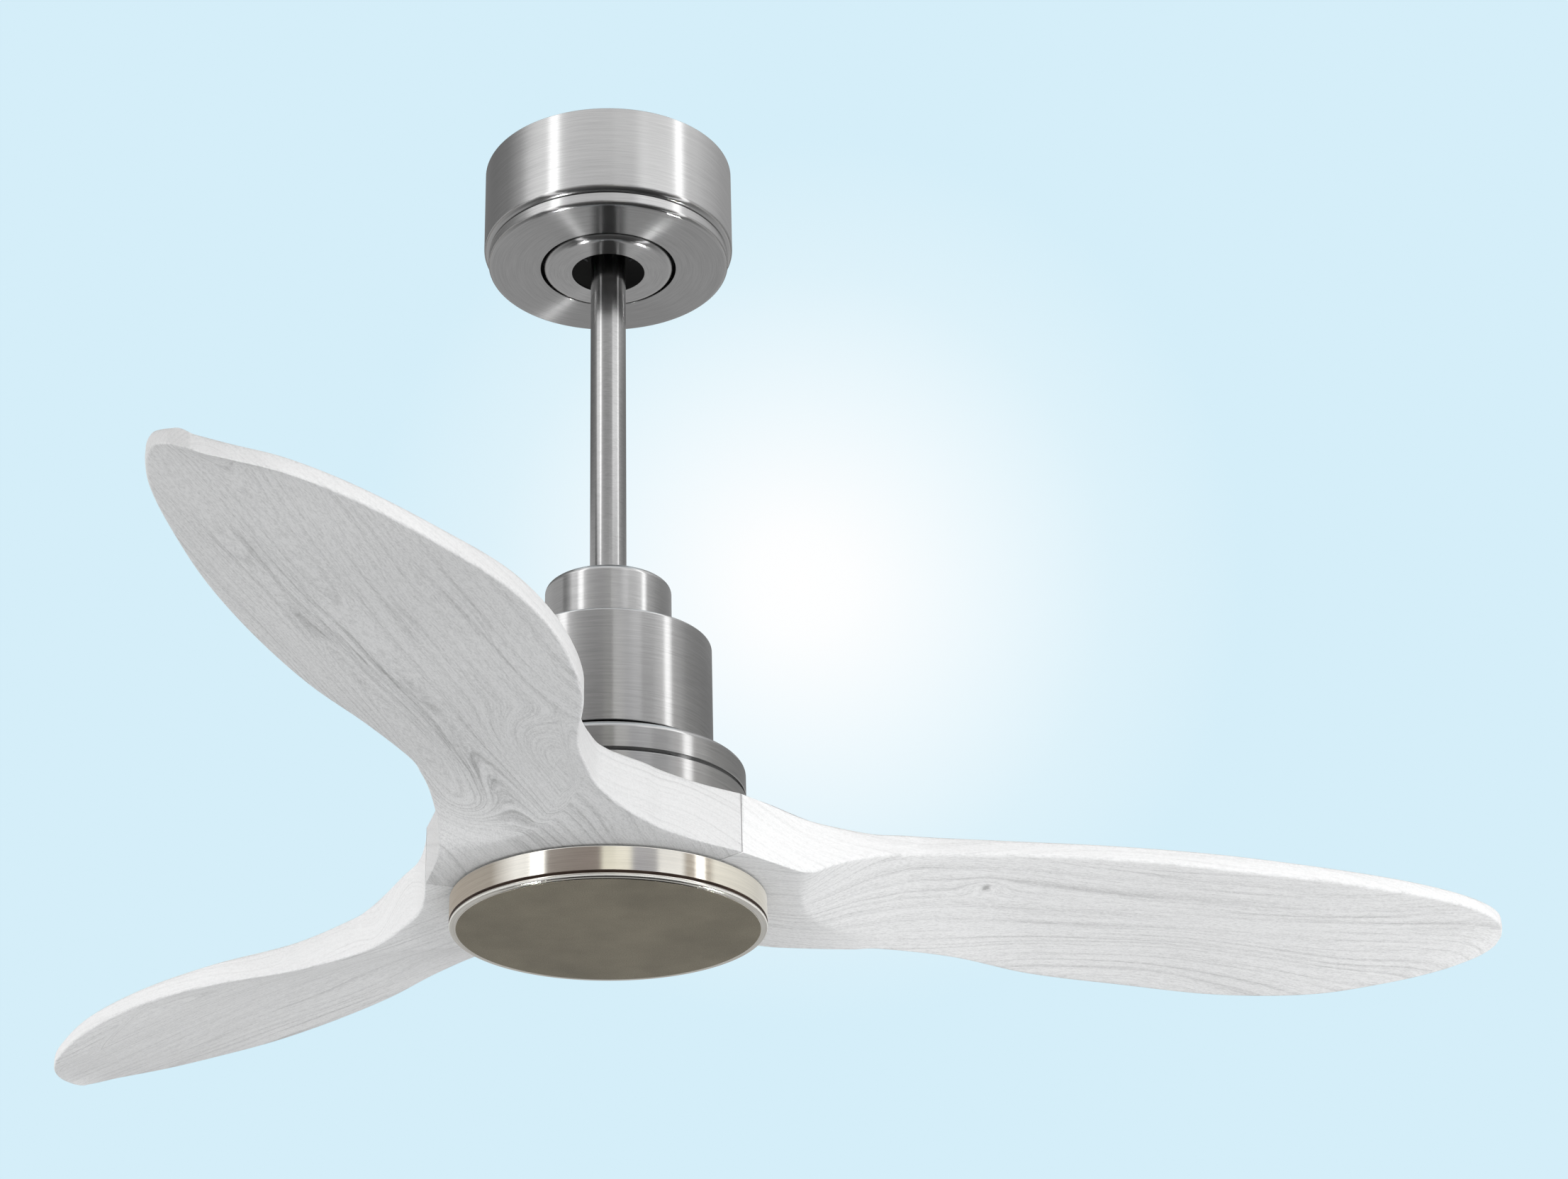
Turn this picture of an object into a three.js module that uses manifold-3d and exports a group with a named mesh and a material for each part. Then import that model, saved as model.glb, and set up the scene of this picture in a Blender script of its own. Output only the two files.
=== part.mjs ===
import * as THREE from 'three';
import { mergeVertices } from 'three/addons/utils/BufferGeometryUtils.js';
import Module from 'manifold-3d';

const kernel = await Module();
kernel.setup();

// Millimetres. +Z is up and the origin is the middle of the bracket's face on the ceiling,
// so every height, each named with a Z at its end, is negative.

// Clearances
const seatGap = 0.3; // between pieces that rest on one another
const slipGap = 0.2; // around pins, shafts and screws in their holes
const swivelGap = 0.7; // between the hanger ball and its seat
const runningGap = 1.3; // between the turning blades and the still cap under them
const ceilingGap = 0.5; // between the canopy's rim and the ceiling

// Screws
const screwRadius = 2;
const screwHeadRadius = 4;
const screwHeadHeight = 2.2;
const slotHalfWidth = 0.5;
const slotDepth = 1;
const hexKeyRadius = 1.4;
const hexKeyDepth = 2.5;

// Ceiling canopy, its collar round the rod's hole, and the cover under it
const canopyRadius = 76;
const canopyDepth = 57.5;
const canopyWall = 1.2;
const canopyEdge = 3.6;
const canopyScrewInset = 14; // from the canopy's radius in to its screws
const canopyScrewReach = 1.5; // past the bracket's feet
const collarHoleRadius = 21.9;
const collarFaceWidth = 13.7;
const collarEdge = 4;
const collarDepth = 11;
const collarEdgeShares = [[0, 0.7], [0.3, 0.2], [1, 0]]; // in and up, of the collar's edge
const coverInset = 2.8; // from the canopy's radius in to the cover's
const coverDepth = 8.2;
const coverWall = 1;
const coverEdge = 2.6;
const coverEdgeShare = 0.3; // where the middle of the cover's rounded edge lies
const coverOpeningGap = 1.7; // between the collar and the cover
const coverTabInset = 5; // from the screw in to the tab's end
const coverTabHalfWidth = 6;
const canopyRimZ = -ceilingGap;
const canopyFloorZ = canopyRimZ - canopyDepth;
const canopyScrewX = canopyRadius - canopyScrewInset;
const collarFaceZ = canopyFloorZ - collarDepth;
const collarFaceRadius = collarHoleRadius + collarFaceWidth;
const collarRadius = collarFaceRadius + collarEdge;
const coverRadius = canopyRadius - coverInset;
const coverTopZ = canopyFloorZ - seatGap;
const coverFaceZ = coverTopZ - coverDepth;
const coverOpeningRadius = collarRadius + coverOpeningGap;

// Rod
const rodRadius = 10.65;
const rodWall = 1.75;
const rodLength = 304;
const rodTopRise = 16; // from the ball's centre up to the rod's end

// Hanger ball, its key groove, its pin and its set screw
const ballRadius = 26;
const ballTopRise = 9; // from the ball's centre up to its flat top
const ballFlatRise = 5.2; // from the sphere's lowest point up to the flat bottom
const ballGrooveHalfWidth = 4.8;
const ballGrooveDepth = 7.8;
const ballGrooveTopRise = 4;
const hangerPinRadius = 3;
const hangerPinInset = 3; // from the ball's surface in to the pin's end
const ballScrewRadius = 2.6;
const ballScrewRise = 4.5;
const ballScrewLength = 9;

// Bracket on the ceiling, with the shelf that carries the ball's seat and the receiver's tray
const bracketSheet = 2.5;
const bracketHalfWidth = 22;
const bracketScrewInset = 4; // from the canopy screw in to the bracket's leg
const bracketFootOverhang = 6; // past the canopy screw
const bracketFootHalfWidth = 9;
const bracketSlotInset = 16;
const bracketSlotRadius = 2.8;
const bracketSlotHalfLength = 5;
const bracketWireHoleRadius = 7;
const shelfRise = 14.5; // from the canopy's floor up to the shelf's top
const seatSink = 12.5; // from the shelf's top down to the sphere's lowest point
const seatRimDrop = 7; // from the ball's centre down to the seat's rim
const seatMouthRise = 7; // from the sphere's lowest point up to the seat's mouth
const seatGateGap = 2.35; // beside the rod in the seat's open side
const seatRootShare = 0.9; // how far in the seat's blank starts, before the ball's room is cut
const seatSteps = 2;
const socketSteps = 7;
const trayRise = 10.5; // from the shelf's top up to the tray's
const trayInset = 16; // from the canopy's radius in to the tray's end
const trayHalfWidth = 20;
const keyHalfWidth = 2;
const keyReach = 5.2; // from the ball's surface in to the key's nose
const keyDrop = 8; // from the ball's centre down to the key
const keyHeight = 6;
const bracketHalfLength = canopyScrewX - bracketScrewInset;
const bracketFootReach = canopyScrewX + bracketFootOverhang;
const bracketFootTopZ = canopyFloorZ + canopyWall + seatGap + bracketSheet;
const bracketSlotX = bracketHalfLength - bracketSlotInset;
const bracketWireHoleX = (bracketSlotX - bracketSlotHalfLength - bracketSlotRadius) / 2;
const seatInnerRadius = ballRadius + swivelGap;
const seatOuterRadius = seatInnerRadius + bracketSheet;
const shelfTopZ = canopyFloorZ + shelfRise;
const ballCentreZ = shelfTopZ + ballRadius - seatSink;
const trayTopZ = shelfTopZ + trayRise;
const trayReach = canopyRadius - trayInset;
const rodTopZ = ballCentreZ + rodTopRise;
const rodBottomZ = rodTopZ - rodLength;

// Receiver, terminals and earth screw on the bracket
const receiverLength = 56;
const receiverHeight = 21;
const receiverCorner = 3;
const receiverGap = 3; // between the tray's upright and the receiver
const receiverEndGap = 4.3; // between the receiver and the tray's end
const terminalLength = 12;
const terminalWidth = 30;
const terminalHeight = 10;
const terminalWayPitch = 9;
const terminalWayRadius = 2.4;
const terminalWayDepth = 7;
const earthScrewLength = 6.2;
const terminalX = (seatOuterRadius + bracketHalfLength - bracketSheet) / 2;
const earthScrewX = -terminalX;

// Yoke that carries the motor on the rod, its pins and screws, and the cover over it
const yokeWall = 7.15;
const yokeSocketDepth = 29;
const yokeFlangeHeight = 4;
const yokeFlangeOverhang = 6; // past the housing screws
const yokeWebHeight = 4.5;
const yokeWireHoleRadius = 5;
const yokeBossWall = 6.3;
const shaftSocketDepth = 15;
const shaftSocketRoom = 5.2; // over the shaft's end
const shaftPinRadius = 2;
const clevisPinRise = 14; // from the rod's end up to the pin
const clevisPinRadius = 3;
const clevisPinOverhang = 7;
const clevisHeadRadius = 4.6;
const clevisHeadLength = 2;
const cotterStandOff = 3.5; // from the yoke out to the cotter
const cotterWireRadius = 0.8;
const cotterLeg = 7;
const cotterBow = 4.2;
const yokeScrewDrop = 6.5;
const yokeScrewRadius = 2.5;
const yokeScrewLength = 9;
const housingScrewInset = 9; // from the yoke out to the housing's screws
const housingScrewTurns = [30, 150, 270];
const couplingRadius = 36.6;
const couplingWall = 1.2;
const couplingEdge = 4;
const couplingRodGap = 0.6;
const couplingRise = 5; // from the yoke's top up to the cover's
const yokeRadius = rodRadius + slipGap + yokeWall;
const yokeTopZ = rodBottomZ + yokeSocketDepth;
const yokeSocketFloorZ = rodBottomZ - seatGap;
const clevisPinZ = rodBottomZ + clevisPinRise;
const cotterX = yokeRadius + cotterStandOff;
const yokeScrewZ = yokeTopZ - yokeScrewDrop;
const couplingTopZ = yokeTopZ + couplingRise;
const housingScrewCircle = yokeRadius + housingScrewInset;
const yokeFlangeRadius = housingScrewCircle + yokeFlangeOverhang;

// Tall housing, its base, and the driver board on the base
const housingDrop = 5; // from the rod's end down to the housing's top
const housingRadius = 59.4;
const housingHeight = 66.5;
const housingWall = 1.3;
const housingEdge = 1.4;
const baseGap = 0.7; // between the base and the housing's wall
const baseRise = 5.5; // from the housing's lower edge up to the base's top
const baseSheet = 2.5;
const baseFlange = 9.4;
const baseNeckDrop = 4.5; // from the housing's lower edge down to the neck's
const baseBossWall = 4.3;
const basePostRadius = 3.2;
const basePostInset = 8;
const basePostTurns = [90, 210, 330];
const boardRise = 18;
const boardThickness = 1.6;
const boardInset = 7.4; // from the housing's radius in to the board's
const boardHoleGap = 1; // between the yoke and the board
// Parts on the board, as shares of its radius: round ones [radius, height, x, y],
// then boxes [x, y, half length, half width, height].
const boardCanShares = [
  [0.135, 0.327, 0.577, 0.269], [0.096, 0.231, 0.423, 0.577], [0.173, 0.192, -0.615, -0.154],
];
const boardBoxShares = [
  [-0.115, 0.673, 0.135, 0.135, 0.038], [0.692, -0.269, 0.096, 0.173, 0.269],
  [-0.577, 0.423, 0.115, 0.077, 0.154], [0, -0.692, 0.231, 0.077, 0.135],
  [0.385, -0.615, 0.058, 0.096, 0.212], [-0.423, -0.577, 0.077, 0.058, 0.077],
];
const housingTopZ = rodBottomZ - housingDrop;
const housingBottomZ = housingTopZ - housingHeight;
const yokeFlangeTopZ = housingTopZ - housingWall - seatGap;
const baseRadius = housingRadius - housingWall - baseGap;
const baseNeckRadius = baseRadius - baseFlange;
const baseTopZ = housingBottomZ + baseRise;
const baseNeckBottomZ = housingBottomZ - baseNeckDrop;
const boardTopZ = baseTopZ + boardRise;
const boardRadius = housingRadius - boardInset;
const basePostCircle = boardRadius - basePostInset;

// Hollow shaft and its bearings
const shaftRadius = 8.5;
const shaftWall = 3.5;
const shaftShoulder = 2.5; // of the stator's seat over the shaft
const shaftStopWidth = 3;
const shaftStopHeight = 1.2;
const shaftEndReach = 1.1; // past the light plate's nut
const bearingWidth = 9;
const bearingHeight = 10;
const bearingLip = 1.7;
const bearingLipReach = 2.4;
const bearingBossWall = 3.8;
const upperBearingRise = 2.5; // over the shell's top
const lowerBearingRise = 8; // over the shell's underside
const shaftBoreRadius = shaftRadius - shaftWall;
const shaftSeatRadius = shaftRadius + shaftShoulder;
const shaftTopZ = yokeSocketFloorZ - yokeWebHeight - shaftSocketRoom;
const yokeBossRadius = shaftRadius + slipGap + yokeBossWall;
const yokeBossBottomZ = shaftTopZ - shaftSocketDepth;
const shaftPinZ = (shaftTopZ + yokeBossBottomZ) / 2;
const boardHoleRadius = yokeBossRadius + boardHoleGap;
const baseBossRadius = shaftRadius + slipGap + baseBossWall;
const bearingRadius = shaftRadius + bearingWidth;
const bearingBoreRadius = bearingRadius + slipGap;
const bearingBossRadius = bearingBoreRadius + bearingBossWall;

// Turning shells
const shellDrop = 9; // from the housing's lower edge down to the shell's top
const shellRadius = 77.3;
const shellWall = 2.5;
const shellEdge = 3.6;
const shellFootEdge = 1.5;
const upperShellHeight = 15.7;
const shellGrooveHeight = 2;
const lowerShellHeight = 23.8;
const spigotWall = 2.2;
const spigotLength = 6;
const shellScrewInset = 7.8;
const shellScrewLength = 16.5;
const shellPostRadius = 3.6;
const shellBossRadius = 5.6;
const shellBossHeight = 5.5;
const shellBossSink = 3;
const shellTopZ = housingBottomZ - shellDrop;
const shellGrooveZ = shellTopZ - upperShellHeight;
const shellFloorZ = shellGrooveZ - shellGrooveHeight - lowerShellHeight;
const shellScrewCircle = shellRadius - shellScrewInset;
const spigotRadius = shellRadius - shellWall - slipGap;
const upperBearingTopZ = shellTopZ + upperBearingRise;
const lowerBearingTopZ = shellFloorZ + lowerBearingRise;

// Stator, its coils, and the magnets that turn round it
const fluxRingGap = 7.5; // between the upper shell's spigot and its flux ring
const fluxRingWall = 2.7;
const magnetThickness = 4.5;
const magnetHeight = 18;
const airGap = 0.5;
const statorStack = 14;
const statorHubWidth = 15;
const toothCount = 12;
const toothHalfWidth = 4;
const shoeDepth = 4;
const shoeSlotHalfWidth = 1.6;
const shoeArcShares = [-1, -0.5, 0, 0.5, 1];
const coilHubGap = 7;
const coilShoeGap = 2;
const coilHalfWidth = 8.1;
const coilOverhang = 4.4;
const coilGap = 0.2;
const coilRingWidth = 2.5;
const coilRingRise = 1;
const fluxRingRadius = spigotRadius - spigotWall - fluxRingGap;
const statorRadius = fluxRingRadius - fluxRingWall - slipGap - magnetThickness - airGap;
const statorHubRadius = shaftSeatRadius + statorHubWidth;
const statorMidZ = (upperBearingTopZ - bearingHeight + lowerBearingTopZ) / 2;
const coilInnerRadius = statorHubRadius + coilHubGap;
const coilOuterRadius = statorRadius - shoeDepth - coilShoeGap;

// Blades, each in one piece from its mitred root to its tip
const bladeCount = 3;
const bladeReach = 530; // from the shaft's axis to the tip
const bladeWidth = 148;
const hubThickness = 33; // of the board that a blade is carved from
const crotchRadius = 102.5; // where the outlines of two blades meet
const hubHoleGap = 6.5; // round the lower shell's bearing boss
const mitreGap = 0.3;
const bladeEdge = 1.6;
const bladeCrown = 1.5;
const firstBladeAzimuth = 13.7;
const bladeStations = 21;
const bladeSpans = 6;
const foldRows = 2; // rows of the table over which the mitred root opens out
const foldPower = 1.5;
const crownRows = 3; // rows before the blade's top starts to crown
const edgeStations = 3; // stations over which the edges' chamfer grows
const hubArcShare = 0.4; // of the root's chord that follows the hub's hole
const rootCreaseShare = 0.06;
// Rows from root to tip: leading edge [along, across, rise, thickness], trailing edge the same,
// crease [of the chord, rise]. Along is a share of the way from the crotches to the tip, across
// of the blade's width, and rise and thickness of the board's. Rises start at the hub's underside.
const bladeShares = [
  [[0.0397, -0.5289, 0.000, 0.999], [0.0397, 0.4981, 0.000, 0.999], [0.06, 0.000]],
  [[0.0904, -0.4476, 0.014, 0.933], [0.0904, 0.3968, 0.000, 0.994], [0.16, 0.000]],
  [[0.1300, -0.4072, 0.279, 0.654], [0.1300, 0.3635, -0.047, 0.972], [0.50, 0.000]],
  [[0.1775, -0.3825, 0.511, 0.403], [0.1775, 0.3255, -0.074, 0.882], [0.72, 0.000]],
  [[0.2170, -0.3717, 0.604, 0.355], [0.2170, 0.3040, -0.071, 0.774], [0.78, 0.037]],
  [[0.2563, -0.3706, 0.652, 0.323], [0.2563, 0.2936, -0.037, 0.689], [0.72, 0.153]],
  [[0.3514, -0.4190, 0.691, 0.262], [0.3514, 0.3348, -0.018, 0.527], [0.60, 0.312]],
  [[0.4619, -0.4749, 0.663, 0.259], [0.4619, 0.4569, -0.014, 0.402], [0.55, 0.345]],
  [[0.5883, -0.4931, 0.626, 0.281], [0.5883, 0.5085, -0.005, 0.312], [0.50, 0.368]],
  [[0.7148, -0.4802, 0.604, 0.267], [0.7148, 0.4903, -0.080, 0.287], [0.50, 0.308]],
  [[0.8253, -0.4365, 0.604, 0.249], [0.8253, 0.3860, -0.104, 0.244], [0.50, 0.287]],
  [[0.9048, -0.3749, 0.588, 0.222], [0.9048, 0.2489, 0.000, 0.223], [0.50, 0.324]],
  [[0.9566, -0.3030, 0.572, 0.212], [0.9566, 0.1078, 0.104, 0.218], [0.50, 0.365]],
  [[0.9835, -0.2464, 0.552, 0.202], [0.9835, -0.0308, 0.230, 0.207], [0.50, 0.408]],
  [[0.9947, -0.2056, 0.525, 0.193], [0.9947, -0.1282, 0.357, 0.196], [0.50, 0.451]],
];
const woodTopZ = shellFloorZ - seatGap;
const woodBottomZ = woodTopZ - hubThickness;
const hubHoleRadius = bearingBossRadius + hubHoleGap;
const mitreAngle = Math.PI / bladeCount; // from a blade's middle to its mitre
const crotchX = crotchRadius * Math.cos(mitreAngle);
const crotchY = crotchRadius * Math.sin(mitreAngle);

// Plate and screws that clamp the blades under the lower shell
const clampPlateHoleGap = 2; // past the wood's hole
const clampPlateSheet = 2.5;
const clampPlateOverhang = 8; // past the far screws
const bladeScrewFarInset = 5.5; // from the shell screws' circle in to the far ones
const bladeScrewSpread = 20.5; // degrees either side of the blade's middle
const bladeScrewTipRise = 2.5; // past the lower shell's floor
const clampPlateHoleRadius = hubHoleRadius + clampPlateHoleGap;
const bladeScrewFarRadius = shellScrewCircle - bladeScrewFarInset;
const bladeScrewNearRadius = (clampPlateHoleRadius + bladeScrewFarRadius) / 2;
const clampPlateRadius = bladeScrewFarRadius + clampPlateOverhang;
const clampPlateTopZ = woodBottomZ - seatGap;
const bladeScrewSeatZ = clampPlateTopZ - clampPlateSheet - seatGap;

// Plate, nut and plug of the light's seat, and the cap that closes it
const kitPlateGap = 1.4; // under the blade screws' heads
const kitPlateInset = 7.5; // from the cap's radius in to the plate's
const kitPlateSheet = 2;
const kitNotchDepth = 2;
const kitNotchHalfWidth = 7;
const kitNotchTurn = 28; // degrees from lug to notch: the twist that locks the cap
const kitNutWidth = 4.5; // from the shaft to the nut's flats
const kitNutHeight = 4.6;
const nutSides = 6;
const kitWireHoleRadius = 4;
const kitPlugCircle = 34;
const kitPlugLength = 16;
const kitPlugWidth = 9;
const kitPlugHeight = 6.2;
const capRadius = 87.5;
const capWall = 1.5;
const capRoom = 2; // between the plug and the cap's floor
const capBeadRadius = 1.7;
const capGroove = 0.5;
const lugCount = 3;
const lugOverlap = 1.4; // of a lug on the plate's rim
const lugHalfWidth = 5;
const lugHeight = 1.5;
const kitPlateRadius = capRadius - kitPlateInset;
const kitPlateTopZ = bladeScrewSeatZ - screwHeadHeight - kitPlateGap;
const kitSeatZ = kitPlateTopZ - kitPlateSheet - seatGap;
const capFaceZ = kitSeatZ - kitPlugHeight - capRoom - capWall;
const shaftBottomZ = kitSeatZ - kitNutHeight - shaftEndReach;

// Facets
const wideFacets = 32;
const middleFacets = 24;
const narrowFacets = 16;
const screwFacets = 8;
const wireFacets = 6;
const wireSteps = 26;
const edgeSteps = 3;
const cutOver = 1; // how far a cutting tool runs past the face it cuts
const weldTolerance = 1e-4;

const quarterTurn = Math.PI / 2;
const radians = THREE.MathUtils.degToRad;

function toKernel(geometry) {
  const bare = geometry.index ? geometry.toNonIndexed() : geometry.clone();
  bare.deleteAttribute('normal');
  bare.deleteAttribute('uv');
  const welded = mergeVertices(bare, weldTolerance);
  const place = welded.attributes.position.array;
  const order = welded.index.array;
  const kept = [];
  let volume = 0;
  for (let i = 0; i < order.length; i += 3) {
    const [a, b, c] = [order[i], order[i + 1], order[i + 2]];
    if (a === b || b === c || a === c) continue;
    kept.push(a, b, c);
    const [p, q, r] = [a, b, c].map((n) => new THREE.Vector3().fromArray(place, 3 * n));
    volume += p.dot(q.cross(r));
  }
  // A shape whose faces look inwards is turned inside out.
  if (volume < 0) {
    for (let i = 0; i < kept.length; i += 3) [kept[i], kept[i + 1]] = [kept[i + 1], kept[i]];
  }
  return new kernel.Manifold(new kernel.Mesh({
    numProp: 3,
    vertProperties: new Float32Array(place),
    triVerts: new Uint32Array(kept),
  }));
}

function fromKernel(solid) {
  const mesh = solid.getMesh();
  const geometry = new THREE.BufferGeometry();
  geometry.setAttribute('position', new THREE.BufferAttribute(Float32Array.from(mesh.vertProperties), 3));
  geometry.setIndex(new THREE.BufferAttribute(Uint32Array.from(mesh.triVerts), 1));
  return geometry;
}

function join(...pieces) {
  return fromKernel(pieces.map(toKernel).reduce((sum, next) => kernel.Manifold.union(sum, next)));
}

function cut(geometry, ...tools) {
  return fromKernel(tools.map(toKernel).reduce((left, tool) => kernel.Manifold.difference(left, tool),
    toKernel(geometry)));
}

// Turns a profile of [radius, height] points that starts and ends on the axis.
function turnedSolid(points, facets) {
  const loop = points.map(([radius, height]) => new THREE.Vector2(radius, height));
  return fromKernel(toKernel(new THREE.LatheGeometry(loop, facets).rotateX(quarterTurn)));
}

// Turns a closed loop of points that stays clear of the axis.
function turned(points, facets) {
  return turnedSolid([...points, points[0]], facets);
}

function cylinder(radius, low, high, facets) {
  return turnedSolid([[0, low], [radius, low], [radius, high], [0, high]], facets);
}

function tube(inner, outer, low, high, facets) {
  return turned([[inner, low], [outer, low], [outer, high], [inner, high]], facets);
}

function block([xLow, xHigh], [yLow, yHigh], [zLow, zHigh]) {
  const geometry = new THREE.BoxGeometry(xHigh - xLow, yHigh - yLow, zHigh - zLow);
  return geometry.translate((xLow + xHigh) / 2, (yLow + yHigh) / 2, (zLow + zHigh) / 2);
}

function around(degrees, geometry) {
  return geometry.clone().rotateZ(radians(degrees));
}

function moved(geometry, x, y, z) {
  return geometry.clone().translate(x, y, z);
}

// Angles, in degrees, of a number of copies spaced evenly from a first one.
function evenTurns(count, first) {
  return Array.from({ length: count }, (_, n) => first + (360 * n) / count);
}

// A round tool for a screw's clearance hole, standing at x and y.
function screwHole(x, y, low, high) {
  return moved(cylinder(screwRadius + slipGap, low, high, screwFacets), x, y, 0);
}

// A round bar along X, or along Y, at a height.
function crossBar(radius, low, high, alongY, z) {
  const bar = cylinder(radius, low, high, screwFacets).rotateY(quarterTurn);
  if (alongY) bar.rotateZ(quarterTurn);
  return bar.translate(0, 0, z);
}

// A round tool right across a piece of the given radius, for a pin or a set screw through it.
function crossHole(radius, pieceRadius, alongY, z) {
  return crossBar(radius + slipGap, -pieceRadius - cutOver, pieceRadius + cutOver, alongY, z);
}

function arcPoints(centreR, centreZ, radius, fromAngle, toAngle, steps) {
  return Array.from({ length: steps + 1 }, (_, i) => {
    const angle = fromAngle + ((toAngle - fromAngle) * i) / steps;
    return [centreR + radius * Math.cos(angle), centreZ + radius * Math.sin(angle)];
  });
}

// A slotted cheese head under a face at z = 0, and a shank up through it.
function screwUp(length) {
  const solid = turnedSolid([
    [0, -screwHeadHeight], [screwHeadRadius, -screwHeadHeight], [screwHeadRadius, 0], [screwRadius, 0],
    [screwRadius, length], [0, length],
  ], screwFacets);
  return cut(solid, block([-screwHeadRadius, screwHeadRadius], [-slotHalfWidth, slotHalfWidth],
    [-screwHeadHeight - cutOver, -screwHeadHeight + slotDepth]));
}

function screwDown(length) {
  return screwUp(length).rotateX(Math.PI);
}

// A headless screw along X with a key socket in its outer end.
function setScrew(radius, inner, length) {
  const bar = cylinder(radius, inner, inner + length, screwFacets);
  const key = cylinder(hexKeyRadius, inner + length - hexKeyDepth, inner + length + cutOver, nutSides);
  return cut(bar, key).rotateY(quarterTurn);
}

function canopyBody() {
  const [r, rim, floor, wall, edge] = [canopyRadius, canopyRimZ, canopyFloorZ, canopyWall, canopyEdge];
  const collarOutside = collarEdgeShares.map(([inward, up]) => [
    collarRadius - collarEdge * inward, collarFaceZ + collarEdge * up]);
  const body = turned([
    [r, rim], ...arcPoints(r - edge, floor + edge, edge, 0, -quarterTurn, edgeSteps),
    [collarRadius, floor], ...collarOutside,
    [collarHoleRadius, collarFaceZ], [collarHoleRadius, collarFaceZ + wall],
    [collarFaceRadius, collarFaceZ + wall], [collarRadius - wall, collarOutside[0][1]],
    [collarRadius - wall, floor + wall], [r - edge, floor + wall], [r - wall, floor + edge], [r - wall, rim],
  ], wideFacets);
  return cut(body, ...[-1, 1].map((side) => screwHole(side * canopyScrewX, 0, floor - cutOver, floor + wall + cutOver)));
}

function canopyCover() {
  const [r, top, face, wall, edge] = [coverRadius, coverTopZ, coverFaceZ, coverWall, coverEdge];
  const pan = turned([
    [r, top], [r, face + edge], [r - edge * coverEdgeShare, face + edge * coverEdgeShare], [r - edge, face],
    [coverOpeningRadius, face], [coverOpeningRadius, face + wall], [r - edge, face + wall], [r - wall, face + edge],
    [r - wall, top],
  ], wideFacets);
  const tab = block([canopyScrewX - coverTabInset, r - wall / 2], [-coverTabHalfWidth, coverTabHalfWidth],
    [top - wall, top]);
  const eye = screwHole(canopyScrewX, 0, top - wall - cutOver, top + cutOver);
  const reach = screwRadius + slipGap;
  const keyway = block([canopyScrewX - reach, canopyScrewX + reach], [0, coverTabHalfWidth + cutOver],
    [top - wall - cutOver, top + cutOver]);
  const slotted = cut(tab, eye, keyway);
  return join(pan, slotted, around(180, slotted));
}

// One leg of the bracket, narrowed under the shelf, with its foot and the foot's screw hole.
function bracketLeg() {
  const [sheet, half, wide] = [bracketSheet, bracketHalfLength, bracketHalfWidth];
  const [low, top] = [bracketFootTopZ - bracketSheet, bracketFootTopZ];
  const leg = block([half - sheet, half], [-wide, wide], [low, 0]);
  const trims = [-1, 1].map((side) => block([half - sheet - cutOver, half + cutOver],
    [side * bracketFootHalfWidth, side * (wide + cutOver)].sort((a, b) => a - b), [low - cutOver, shelfTopZ - sheet]));
  const foot = block([half - sheet, bracketFootReach], [-bracketFootHalfWidth, bracketFootHalfWidth], [low, top]);
  return cut(join(leg, foot), ...trims, screwHole(canopyScrewX, 0, low - cutOver, top + cutOver));
}

// The tray for the receiver, hung on the shelf's edge.
function bracketTray() {
  const [sheet, wide] = [bracketSheet, bracketHalfWidth];
  const tray = block([-trayHalfWidth, trayHalfWidth], [-trayReach, -wide], [trayTopZ - sheet, trayTopZ]);
  const upright = block([-trayHalfWidth, trayHalfWidth], [-wide - sheet, -wide], [shelfTopZ - sheet, trayTopZ]);
  const root = block([-trayHalfWidth, trayHalfWidth], [-wide - sheet, -wide + sheet / 2],
    [shelfTopZ - sheet, shelfTopZ]);
  return join(tray, upright, root);
}

// The open-topped bowl that carries the ball, before its room is cut.
function seatBlank() {
  const low = Math.asin((seatMouthRise - ballRadius) / seatInnerRadius);
  const high = Math.asin(-seatRimDrop / seatInnerRadius);
  return turned([
    [seatInnerRadius * Math.cos(low) * seatRootShare, ballCentreZ + seatOuterRadius * Math.sin(low)],
    ...arcPoints(0, ballCentreZ, seatOuterRadius, low, high, seatSteps),
    [seatInnerRadius * Math.cos(high) * seatRootShare, ballCentreZ + seatInnerRadius * Math.sin(high)],
  ], middleFacets);
}

// The ball's room in its seat, the seat's mouth for the rod, and the side where the rod slips in.
function seatRoom() {
  const [inner, low] = [seatInnerRadius, ballCentreZ - seatOuterRadius - cutOver];
  const socket = turnedSolid([
    ...arcPoints(0, ballCentreZ, inner, -quarterTurn, 0, socketSteps).map(([r, z], i) => [i ? r : 0, z]),
    [inner, ballCentreZ + seatRimDrop], [0, ballCentreZ + seatRimDrop],
  ], middleFacets);
  const mouthRadius = Math.sqrt(inner ** 2 - (ballRadius - seatMouthRise) ** 2);
  const gateHalf = rodRadius + seatGateGap;
  return [
    socket,
    cylinder(mouthRadius, low, ballCentreZ, middleFacets),
    block([-gateHalf, gateHalf], [0, bracketHalfWidth + seatOuterRadius], [low, ballCentreZ + seatRimDrop]),
  ];
}

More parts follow.
